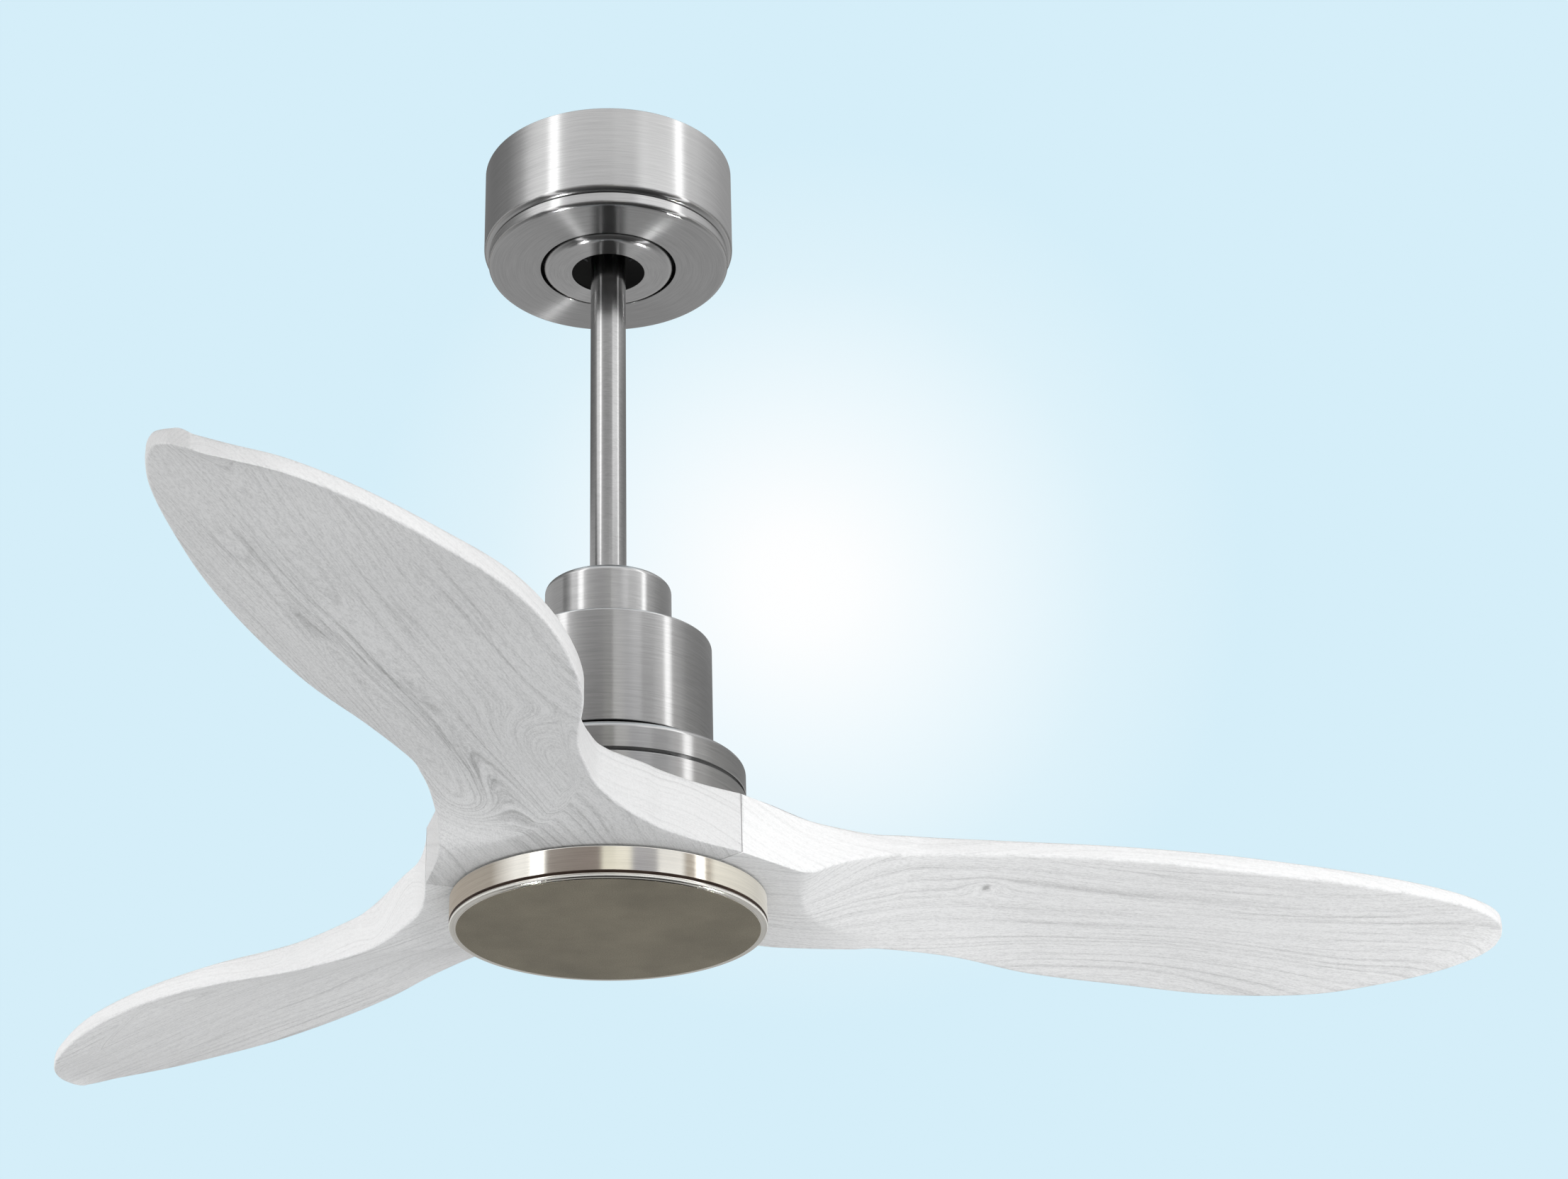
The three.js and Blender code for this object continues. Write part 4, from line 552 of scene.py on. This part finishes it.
def laminations():
    """A stack of thin steel sheets, seen as lines round the core."""
    material, graph = new_material("laminations")
    place = graph.place()
    half_sheet = 0.00035
    z = graph.parts(place)[2]
    edge = graph.math("MULTIPLY", graph.math("PINGPONG", z, half_sheet), 1 / half_sheet)
    stain = graph.noise(place, scale=130, detail=3)
    steel = graph.ramp(stain, [(0.3, (0.22, 0.23, 0.26)), (0.7, (0.33, 0.33, 0.34))])
    tint = graph.mix(edge, (0.10, 0.105, 0.115), steel)
    roughness = graph.math("MULTIPLY_ADD", stain, 0.2, 0.36)
    graph.surface(tint, 0.9, roughness, graph.bump(edge, distance=0.0002, strength=0.6))
    return material


def copper():
    """Enamelled wire, wound in close turns."""
    material, graph = new_material("copper")
    half_wire = 0.0003
    x, y, z = graph.parts(graph.place())[:3]
    radius = graph.vector("LENGTH", graph.joined(x, y, 0.0), (0, 0, 0))
    turn = graph.math("PINGPONG", graph.math("ADD", radius, z), half_wire)
    turn = graph.math("MULTIPLY", turn, 1 / half_wire)
    cloud = graph.noise(graph.place(), scale=300, detail=2)
    wire = graph.ramp(cloud, [(0.3, (0.50, 0.20, 0.07)), (0.7, (0.66, 0.29, 0.11))])
    tint = graph.mix(turn, (0.16, 0.05, 0.018), wire)
    roughness = graph.math("MULTIPLY_ADD", cloud, 0.15, 0.25)
    graph.surface(tint, 0.9, roughness, graph.bump(turn, distance=0.0002, strength=0.8))
    return material


def ferrite():
    """Pressed magnet powder, dull and dark."""
    material, graph = new_material("ferrite")
    place = graph.place()
    grain = graph.noise(place, scale=1400, detail=3, rough=0.7)
    tint = graph.ramp(grain, [(0.3, (0.022, 0.023, 0.026)), (0.7, (0.050, 0.052, 0.056))])
    roughness = graph.math("MULTIPLY_ADD", grain, 0.2, 0.45)
    graph.surface(tint, 0.2, roughness, graph.bump(grain, distance=0.0001, strength=0.5))
    return material


# Turned pieces, in millimetres

HOLD = 0.04  # from a fillet to the ring that keeps the wall beside it flat
NEARLY_STRAIGHT = math.radians(89)  # half the angle of a corner too slight to round
SHARP = math.radians(32)  # edges that turn more than this stay sharp in the shading
WELD = 1e-6  # metres: points closer than this become one
INWARD = 0.3  # how far a face leans inwards or up before it counts as the inside


def rounded(corners, steps=5):
    """A closed outline of (radius, height, fillet) corners, with each fillet drawn as an arc."""
    points = []
    for i, (r, z, fillet) in enumerate(corners):
        here = Vector((r, z))
        back = (Vector(corners[i - 1][:2]) - here).normalized()
        ahead = (Vector(corners[(i + 1) % len(corners)][:2]) - here).normalized()
        half = math.acos(max(-1.0, min(1.0, back.dot(ahead)))) / 2
        if fillet <= 0 or half > NEARLY_STRAIGHT:
            points.append((r, z))
            continue
        middle = here + (back + ahead).normalized() * fillet / math.sin(half)
        start = here + back * fillet / math.tan(half) - middle
        end = here + ahead * fillet / math.tan(half) - middle
        sweep = start.angle_signed(end)
        points.append(tuple(middle + start + back * HOLD))
        for step in range(steps + 1):
            turn = -sweep * step / steps
            points.append((middle.x + start.x * math.cos(turn) - start.y * math.sin(turn),
                           middle.y + start.x * math.sin(turn) + start.y * math.cos(turn)))
        points.append(tuple(middle + end + ahead * HOLD))
    return points


def finished(name, mesh, body, nodes, materials):
    """Shades a bmesh, links it as a piece and lets it ride in place of CAD nodes."""
    bmesh.ops.remove_doubles(mesh, verts=mesh.verts, dist=WELD)
    bmesh.ops.recalc_face_normals(mesh, faces=mesh.faces)
    for face in mesh.faces:
        face.smooth = True
    for edge in mesh.edges:
        edge.smooth = len(edge.link_faces) == 2 and edge.calc_face_angle(0) < SHARP
    data = bpy.data.meshes.new(name)
    mesh.to_mesh(data)
    mesh.free()
    for material in materials:
        data.materials.append(material)
    piece = bpy.data.objects.new(name, data)
    bpy.context.scene.collection.objects.link(piece)
    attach(piece, body)
    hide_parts(*nodes)
    return piece


def turned(outline, facets=160):
    """A bmesh of an outline turned round Z."""
    mesh = bmesh.new()
    turns = [2 * math.pi * i / facets for i in range(facets)]
    rings = []
    for r, z in outline:
        if r == 0:
            rings.append([mesh.verts.new((0, 0, z * MM))] * facets)
        else:
            rings.append([
                mesh.verts.new((r * MM * math.cos(t), r * MM * math.sin(t), z * MM)) for t in turns])
    for ring, following in zip(rings, rings[1:] + rings[:1]):
        for i in range(facets):
            corners = [ring[i], ring[(i + 1) % facets], following[(i + 1) % facets], following[i]]
            corners = [c for k, c in enumerate(corners) if c not in corners[:k]]
            if len(corners) > 2:
                mesh.faces.new(corners)
    return mesh


def add_box(mesh, low, high, turn):
    """A box between two corners, turned about Z by degrees."""
    made = bmesh.ops.create_cube(mesh, size=1)["verts"]
    size = Vector(high) - Vector(low)
    middle = (Vector(high) + Vector(low)) / 2
    for vert in made:
        vert.co = Vector(a * b + c for a, b, c in zip(vert.co, size, middle)) * MM
    bmesh.ops.rotate(mesh, verts=made, matrix=Matrix.Rotation(math.radians(turn), 3, "Z"))


def paint_shade_inside(mesh):
    """Gives the faces that look inwards or up the second material: the near-black painted shade inside the
    cup.
    """
    bmesh.ops.recalc_face_normals(mesh, faces=mesh.faces)
    for face in mesh.faces:
        middle = face.calc_center_median()
        outward = Vector((middle.x, middle.y, 0)).normalized().dot(face.normal)
        face.material_index = 1 if outward < -INWARD or face.normal.z > INWARD else 0


def make_canopy(outside, inside):
    """A deep cup with a raised collar round the rod's hole."""
    radius, collar, hole, wall = 76, 39.6, 21.9, 1.2
    top, shoulder, face = -0.5, -58, -69
    canopy = turned(rounded([
        (radius, top, 0.4), (radius, shoulder, 3.6), (collar, shoulder, 0.5), (collar, face, 4.6),
        (hole, face, 0.5), (hole, face + wall, 0.3), (collar - wall, face + wall, 3.4),
        (collar - wall, shoulder + wall, 0.5), (radius - wall, shoulder + wall, 2.4),
        (radius - wall, top, 0.4)], steps=8))
    # The faces inside the cup take the near-black painted shade.
    paint_shade_inside(canopy)
    finished("canopy_spun", canopy, "ceiling_mount", ["canopy"], [outside, inside])


def make_canopy_cover(wall_look, face_look):
    """A shallow ring under the canopy, its face cut on a lathe."""
    radius, opening, wall = 73.2, 41.3, 1
    top, face = -58.3, -66.5
    cover = turned(rounded([
        (radius, top, 0.45), (radius, face, 2.6), (opening, face, 0.4), (opening, face + wall, 0.3),
        (radius - wall, face + wall, 1.6), (radius - wall, top, 0.3)], steps=7))
    just_above_face = (face + 0.1) * MM
    for polygon in cover.faces:
        polygon.material_index = 1 if polygon.calc_center_median().z < just_above_face else 0
    finished("canopy_cover_spun", cover, "ceiling_mount", ["canopy_cover"],
             [wall_look, face_look])


def make_downrod(look):
    """A plain tube with its ends deburred."""
    radius, bore, top, bottom = 10.65, 8.9, -14, -318
    rod = turned(rounded([
        (radius, top, 0.4), (radius, bottom, 0.4), (bore, bottom, 0.3), (bore, top, 0.3)]), facets=96)
    finished("downrod_tube", rod, "hanging", ["downrod"], [look])


def make_coupling_cover(look):
    """A cup upside down over the joint of rod and motor."""
    radius, hole, wall, top, bottom = 36.6, 11.25, 1.2, -284, -322.7
    coupling = turned(rounded([
        (hole, top, 0.3), (radius, top, 4), (radius, bottom, 0.25), (radius - wall, bottom, 0.25),
        (radius - wall, top - wall, 2.8), (hole, top - wall, 0.3)], steps=8), facets=128)
    finished("coupling_cover_spun", coupling, "hanging", ["coupling_cover"], [look])


def make_upper_housing(look):
    """A tall cup upside down, whose lower edge hides the gap to the black base."""
    radius, hole, wall, top, bottom = 59.4, 18.2, 1.3, -323, -390.6
    housing = turned(rounded([
        (hole, top, 0.3), (radius, top, 1.4), (radius, bottom, 0.35), (radius - wall, bottom, 0.25),
        (radius - wall, top - wall, 0.6), (hole, top - wall, 0.3)]))
    finished("upper_housing_spun", housing, "hanging", ["upper_housing"], [look])


def make_motor_shells(look):
    """Two cups that meet in a groove: the upper one's rim is stepped to sit inside the lower one."""
    radius, plate, wall = 77.3, 2.5, 2.5
    hole, top, step, rim = 23, -398.5, -414.2, -417.5
    step_radius, inner_radius = 74.6, 72.4
    upper = turned(rounded([
        (hole, top, 0.3), (radius, top, 3.6), (radius, step, 0.35), (step_radius, step, 0.1),
        (step_radius, rim, 0.2), (inner_radius, rim, 0.2), (inner_radius, top - plate, 1),
        (hole, top - plate, 0.3)], steps=8))
    finished("motor_shell_upper_spun", upper, "rotor", ["motor_shell_upper"], [look])

    hole, rim, bottom = 21.5, -416.2, -440
    lower = turned(rounded([
        (hole, bottom + plate, 0.3), (radius - wall, bottom + plate, 0.5), (radius - wall, rim, 0.2),
        (radius, rim, 0.35), (radius, bottom, 1.5), (hole, bottom, 0.3)]))
    finished("motor_shell_lower_spun", lower, "rotor", ["motor_shell_lower"], [look])


def make_light_cap(looks):
    """A flat dish with a rolled bead round its face, and three tabs that twist onto the light plate.

    The looks are for the face, the rim, the bead and the groove above the bead. The bead's look is a painted
    highlight, whiter than the rim, and the groove's is painted shade.
    """
    radius, face, top, wall = 87.5, -492.0, -474.6, 1.5
    bead, bead_steps, groove = 1.7, 14, 0.5
    tab_low, tab_high = (78.6, -5, -479.8), (86.8, 5, -478.3)
    lip = radius - 2 * bead
    bead_top = face + 2 * bead
    bead_arc = [(radius - bead + bead * math.cos(turn), face + bead + bead * math.sin(turn), 0)
                for turn in (math.radians(-90 + 150 * i / bead_steps) for i in range(bead_steps + 1))]
    cap = turned(rounded([
        (0, face, 0), (lip - groove, face, 0.3), (lip, face + groove, 0.1),
        (lip + groove, face + groove / 2, 0), *bead_arc, (radius - groove, bead_top, 0.1),
        (radius, bead_top + groove, 0.25), (radius, top, 0.5), (radius - wall, top, 0.4),
        (radius - wall, bead_top, 0.5), (lip - groove, face + wall, 0), (0, face + wall, 0)]))
    for turn in range(0, 360, 120):
        add_box(cap, tab_low, tab_high, turn)
    bmesh.ops.recalc_face_normals(cap, faces=cap.faces)
    on_face, on_rim, bead_painted_highlight, groove_painted_shade = range(len(looks))
    for polygon in cap.faces:
        middle = polygon.calc_center_median() / MM
        away = math.hypot(middle.x, middle.y)
        outside = away > radius - bead and middle.z < bead_top + 1.1 * groove
        if away < lip - 0.8 * groove and middle.z < face + 0.4 * groove:
            polygon.material_index = on_face
        # Bead faces that don't look steeply down take the painted highlight.
        elif outside and middle.z < face + bead and polygon.normal.z > -0.64:
            polygon.material_index = bead_painted_highlight
        # Faces above the bead take the painted shade of the groove.
        elif outside and middle.z > face + 1.35 * bead:
            polygon.material_index = groove_painted_shade
        else:
            polygon.material_index = on_rim
    finished("light_cap_spun", cap, "hanging", ["light_cap"], looks)


# Blades, in millimetres

BLADES = 3
FIRST_AZIMUTH = 13.7  # degrees from the frame's +X towards +Y
AZIMUTHS = [math.radians(FIRST_AZIMUTH + 360 / BLADES * number) for number in range(BLADES)]
REACH = 530.0  # from the axis to the tip
WIDTH = 148.0  # of the carved part at its widest, which the shares across are of
BOARD = 33.0  # thickness of the board at the hub
UNDERSIDE = -473.3  # height of the hub's flat underside, from the ceiling
MITRE = math.pi / BLADES  # from the middle of a blade to its mitred edge
CROTCH = 102.5  # from the axis to where two blades' edges meet
CROTCH_X, CROTCH_Y = CROTCH * math.cos(MITRE), CROTCH * math.sin(MITRE)
MITRE_GAP = 0.7  # between the boards
HUB_HOLE = 28.0  # radius of the hole that the three roots leave round the shaft
HUB_ARC_SHARE = 0.4  # of the root's half chord, the part that lies on the hub's hole
EDGE = 1.8  # radius of the rounded edges
EDGE_CHORD_SHARE = 0.42  # of a narrow chord, the most that one rounded edge takes
CROWN = 1.5  # how far the middle of the top stands above a flat board
TIP_CUT_SHARE = 0.27  # of the last row's chord, what the blunt end leaves out on each side
LEAST_CREASE_SHARE, SOFT_CREASE_SHARE = 0.012, 0.95  # of the chord and of the crease's narrower side
STATIONS, SPANS, EDGE_STEPS = 121, 32, 4  # along the blade, across it and round an edge
SPREAD_SHARE = 0.01  # of the clear strip beside an edge, the step between points held clear of it
FOLD_ROWS = (0, 2)  # the rows of the table between which the root's fold fades
EDGE_ROWS = (0, 1.5)  # the rows between which the edges' rounding grows
CROWN_ROWS = (3, 6)  # the rows between which the crown grows
SOFT_ROWS = (5, 8.5)  # the rows between which the crease softens
TIP_ROW = 8  # from here on the points of the chord keep clear of the rounded edges
# Rows from root to tip: leading edge [along, across, rise, thickness], trailing edge the same,
# crease [of the chord, rise], all as shares of the blade's own sizes.
BLADE_SHARES = [
    [[0.0397, -0.5289, 0.000, 0.999], [0.0397, 0.4981, 0.000, 0.999], [0.06, 0.000]],
    [[0.0904, -0.4476, 0.014, 0.933], [0.0904, 0.3968, 0.000, 0.994], [0.16, 0.000]],
    [[0.1300, -0.4072, 0.279, 0.654], [0.1300, 0.3635, -0.047, 0.972], [0.50, 0.000]],
    [[0.1775, -0.3825, 0.511, 0.403], [0.1775, 0.3255, -0.074, 0.882], [0.72, 0.000]],
    [[0.2170, -0.3717, 0.604, 0.355], [0.2170, 0.3040, -0.071, 0.774], [0.78, 0.037]],
    [[0.2563, -0.3706, 0.652, 0.323], [0.2563, 0.2936, -0.037, 0.689], [0.72, 0.153]],
    [[0.3514, -0.4190, 0.691, 0.262], [0.3514, 0.3348, -0.018, 0.527], [0.60, 0.312]],
    [[0.4619, -0.4749, 0.663, 0.259], [0.4619, 0.4569, -0.014, 0.402], [0.55, 0.345]],
    [[0.5883, -0.4931, 0.626, 0.281], [0.5883, 0.5085, -0.005, 0.312], [0.50, 0.368]],
    [[0.7148, -0.4802, 0.604, 0.267], [0.7148, 0.4903, -0.080, 0.287], [0.50, 0.308]],
    [[0.8253, -0.4365, 0.604, 0.249], [0.8253, 0.3860, -0.104, 0.244], [0.50, 0.287]],
    [[0.9048, -0.3850, 0.588, 0.222], [0.9048, 0.2489, -0.010, 0.223], [0.50, 0.320]],
    [[0.9566, -0.3230, 0.555, 0.212], [0.9566, 0.1120, 0.080, 0.218], [0.50, 0.345]],
    [[0.9835, -0.2700, 0.510, 0.206], [0.9835, -0.0120, 0.150, 0.210], [0.50, 0.345]],
    [[0.9947, -0.2280, 0.450, 0.200], [0.9947, -0.0850, 0.210, 0.202], [0.50, 0.335]],
]


def between(rows, place):
    """A smooth value between the table's rows, through each of them."""
    i = min(len(rows) - 2, max(0, int(place)))
    t = place - i
    a, b, c, d = rows[max(0, i - 1)], rows[i], rows[i + 1], rows[min(len(rows) - 1, i + 2)]
    return [q + 0.5 * t * (r - p + t * (2 * p - 5 * q + 4 * r - s + t * (3 * (q - r) + s - p)))
            for p, q, r, s in zip(a, b, c, d)]


def grown(place, rows):
    """0 up to the first of two rows, 1 from the second on."""
    first, second = rows
    return min(1.0, max(0.0, (place - first) / (second - first)))


def blade_rows():
    """The table's rows in millimetres, with the root before them and the blunt end after."""
    def measured(along, across, rise, thickness):
        return [CROTCH_X + along * (REACH - CROTCH_X), across * WIDTH, rise * BOARD, thickness * BOARD]

    root = [CROTCH_X, -CROTCH_Y, 0, BOARD, CROTCH_X, CROTCH_Y, 0, BOARD, 0.06, 0]
    rows = [root] + [measured(*lead) + measured(*trail) + [share, rise * BOARD]
                     for lead, trail, (share, rise) in BLADE_SHARES]
    last = rows[-1]
    lead, trail = Vector(last[:4]), Vector(last[4:8])
    tip_lead, tip_trail = lead.lerp(trail, TIP_CUT_SHARE), lead.lerp(trail, 1 - TIP_CUT_SHARE)
    tip_lead[0] = tip_trail[0] = REACH
    return rows + [[*tip_lead, *tip_trail, 0.5, last[9]]]


def root_fold(share):
    """How far a point of the root's chord moves to lie on the mitre or on the hub's round hole."""
    side = -1 if share < 0.5 else 1
    away = abs(share - 0.5) * 2
    on_arc = min(1, away / HUB_ARC_SHARE)
    radius = HUB_HOLE + max(0, (away - HUB_ARC_SHARE) / (1 - HUB_ARC_SHARE)) * (CROTCH - HUB_HOLE)
    angle = side * on_arc * MITRE
    nudge = MITRE_GAP / 2
    return (radius * math.cos(angle) - CROTCH_X + nudge * math.sin(MITRE),
            radius * math.sin(angle) - side * away * CROTCH_Y - side * nudge * math.cos(MITRE) * on_arc)


def soft_crease(share, lead, crease_share, crease, trail, soft):
    """Height of the underside: two slopes that meet in a crease, rounded over the given share."""
    first = (crease - lead) / crease_share
    second = (trail - crease) / (1 - crease_share)
    off = share - crease_share
    if abs(off) >= soft:
        return crease + off * (first if off < 0 else second)
    return crease + first * off + (second - first) * (off + soft) ** 2 / (4 * soft)


def chord_shares(crease_share, chord, place):
    """Where the points of a chord stand: half of them on either side of the crease."""
    half = SPANS // 2
    shares = [crease_share * i / half if i <= half else crease_share + (1 - crease_share) * (i - half) / half
              for i in range(SPANS + 1)]
    if place > TIP_ROW:
        clear = min(EDGE, EDGE_CHORD_SHARE * chord) / chord
        shares[1:-1] = [
            min(max(share, clear * (1 + SPREAD_SHARE * i)), 1 - clear * (1 + SPREAD_SHARE * (SPANS - i)))
            for i, share in enumerate(shares[1:-1], 1)]
    return shares


def rounded_edge(point, inward, rise, radius):
    """A quarter turn from the face beside an edge to the edge's own wall."""
    way = (inward - point).normalized()
    up = Vector((0, 0, rise))
    turns = [math.pi / 2 * k / EDGE_STEPS for k in range(EDGE_STEPS + 1)]
    return [point + way * radius * (1 - math.sin(t)) + up * radius * (1 - math.cos(t)) for t in turns]


def blade_ring(rows, station):
    """The closed ring of points round one station, its corners rounded."""
    place = (len(rows) - 1) * station / (STATIONS - 1)
    row = between(rows, place)
    lead_x, lead_y, lead_z, lead_t, trail_x, trail_y, trail_z, trail_t = row[:8]
    crease_share, crease = row[8:] if station else (0.5, 0)
    folded = (1 - grown(place, FOLD_ROWS)) ** 1.5
    crown = CROWN * grown(place, CROWN_ROWS)
    narrow = min(crease_share, 1 - crease_share)
    soft = max(LEAST_CREASE_SHARE, grown(place, SOFT_ROWS) * SOFT_CREASE_SHARE * narrow)
    lower, upper = [], []
    for share in chord_shares(crease_share, math.hypot(trail_x - lead_x, trail_y - lead_y), place):
        x, y = root_fold(share)
        x = lead_x + (trail_x - lead_x) * share + x * folded
        y = lead_y + (trail_y - lead_y) * share + y * folded
        lower.append(Vector((x, y, soft_crease(share, lead_z, crease_share, crease, trail_z, soft))))
        upper.append(Vector((x, y, (lead_z + lead_t) * (1 - share) + (trail_z + trail_t) * share
                             + crown * 4 * share * (1 - share))))
    radius = min(EDGE * grown(place, EDGE_ROWS), EDGE_CHORD_SHARE * (lower[-1] - lower[0]).length)
    return (
        lower[1:-1] + rounded_edge(lower[-1], lower[-2], 1, radius)
        + rounded_edge(upper[-1], upper[-2], -1, radius)[::-1] + upper[1:-1][::-1]
        + rounded_edge(upper[0], upper[1], -1, radius) + rounded_edge(lower[0], lower[1], 1, radius)[::-1])


def close_end(mesh, ring):
    """Fills an end of the blade with strips between its lower and its upper points."""
    low = SPANS - 1  # points of the lower chord, before the trailing corner
    side = EDGE_STEPS + 1
    right = ring[low:low + side], ring[low + side:low + 2 * side][::-1]
    left = ring[2 * low + 3 * side:][::-1], ring[2 * low + 2 * side:2 * low + 3 * side]
    floor = left[0][::-1] + ring[:low] + right[0]
    roof = left[1][::-1] + ring[low + 2 * side:2 * low + 2 * side][::-1] + right[1]
    for i in range(len(floor) - 1):
        mesh.faces.new((floor[i], floor[i + 1], roof[i + 1], roof[i]))


def make_blade(number, material):
    """One carved board, from its mitred root to its tip."""
    rows = blade_rows()
    mesh = bmesh.new()
    rings = [[mesh.verts.new((p.x * MM, p.y * MM, (p.z + UNDERSIDE) * MM)) for p in blade_ring(rows, n)]
             for n in range(STATIONS)]
    count = len(rings[0])
    for ring, following in zip(rings, rings[1:]):
        for i in range(count):
            j = (i + 1) % count
            mesh.faces.new((ring[i], ring[j], following[j], following[i]))
    for ring in (rings[0], rings[-1]):
        close_end(mesh, ring)
    bmesh.ops.rotate(mesh, verts=mesh.verts, matrix=Matrix.Rotation(AZIMUTHS[number], 3, "Z"))
    node = f"blade_{number + 1}"
    blade = finished(f"{node}_carved", mesh, "rotor", [node], [material])
    blade.visible_glossy = False  # the photograph's metal mirrors only its studio


# The scene

bpy.context.scene.view_settings.view_transform = "Standard"
make_camera()
make_world()
make_studio()
make_floor()

brushed = nickel("brushed_nickel_look", (0.540, 0.540, 0.540), rough=0.20, line_depth=7e-6, anisotropic=0.85)
faced = nickel("faced_nickel_look", (0.500, 0.500, 0.500), rough=0.23, line_depth=3e-6, anisotropic=1.0)
drawn = nickel("drawn_nickel_look", (0.440, 0.440, 0.440), rough=0.17, line_depth=3e-6, anisotropic=0.7)
rim = nickel("cap_rim_look", (0.860, 0.835, 0.770), rough=0.13, line_depth=4e-6, anisotropic=0.3)
# The bead's look: a painted highlight, near white and half metal, so that it shows as a bright line.
bead = nickel(
    "cap_bead_painted_highlight", (0.900, 0.880, 0.830), rough=0.32, line_depth=4e-6, anisotropic=0.3, metallic=0.40)
# The groove's look: painted shade, a near-black brown moulding where the groove lies in shadow.
groove = plastic(
    "cap_groove_painted_shade", (0.030, 0.020, 0.015), (0.060, 0.040, 0.030),
    rough=0.45, grain_scale=1800, specular=0.2)
satin = cap_satin()
black = plastic(
    "black_moulding", (0.011, 0.011, 0.012), (0.017, 0.017, 0.018),
    rough=0.42, grain_scale=2600, specular=0.12)
grey = plastic("grey_moulding", (0.62, 0.62, 0.60), (0.70, 0.70, 0.68), rough=0.48, grain_scale=1900)
# Each board's wash is lighter or darker by how light falls on that blade: painted light and shade over the
# whitewash's own tone.
boards = [
    wood("whitewash_1", seed=1, azimuth=AZIMUTHS[0], wash_with_painted_light=0.795, knots=[(0.212, -0.026)]),
    wood("whitewash_2", seed=2, azimuth=AZIMUTHS[1], wash_with_painted_light=0.84, cathedrals=[
        (0.100, 0.050, 0.050, 0.024, 0.045, 1)]),
    wood("whitewash_3", seed=3, azimuth=AZIMUTHS[2], wash_with_painted_light=0.69, cathedrals=[
        (0.098, 0.040, -0.044, 0.020, 0.052, 1), (0.262, 0.075, 0.032, 0.022, 0.050, -1)],
        streaked=(-0.004, -0.08, 0.011)),
]
looks = {
    "brushed_nickel": brushed,
    "satin_nickel": satin,
    "white_wood": boards[0],
    "zinc_steel": zinc(),
    "cast_metal": cast_metal(),
    "black_plastic": black,
    "grey_plastic": grey,
    "green_screw": green_screw(),
    "board_green": circuit_board(),
    "lamination_steel": laminations(),
    "copper_wire": copper(),
    "magnet_dark": ferrite(),
}
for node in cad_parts.values():
    for slot in node.material_slots:
        slot.material = looks[slot.material.name]

make_canopy(brushed, painted_shade_lining())
make_canopy_cover(brushed, faced)
make_downrod(drawn)
make_coupling_cover(brushed)
make_upper_housing(brushed)
make_motor_shells(brushed)
make_light_cap([satin, rim, bead, groove])
for number, board in enumerate(boards):
    make_blade(number, board)
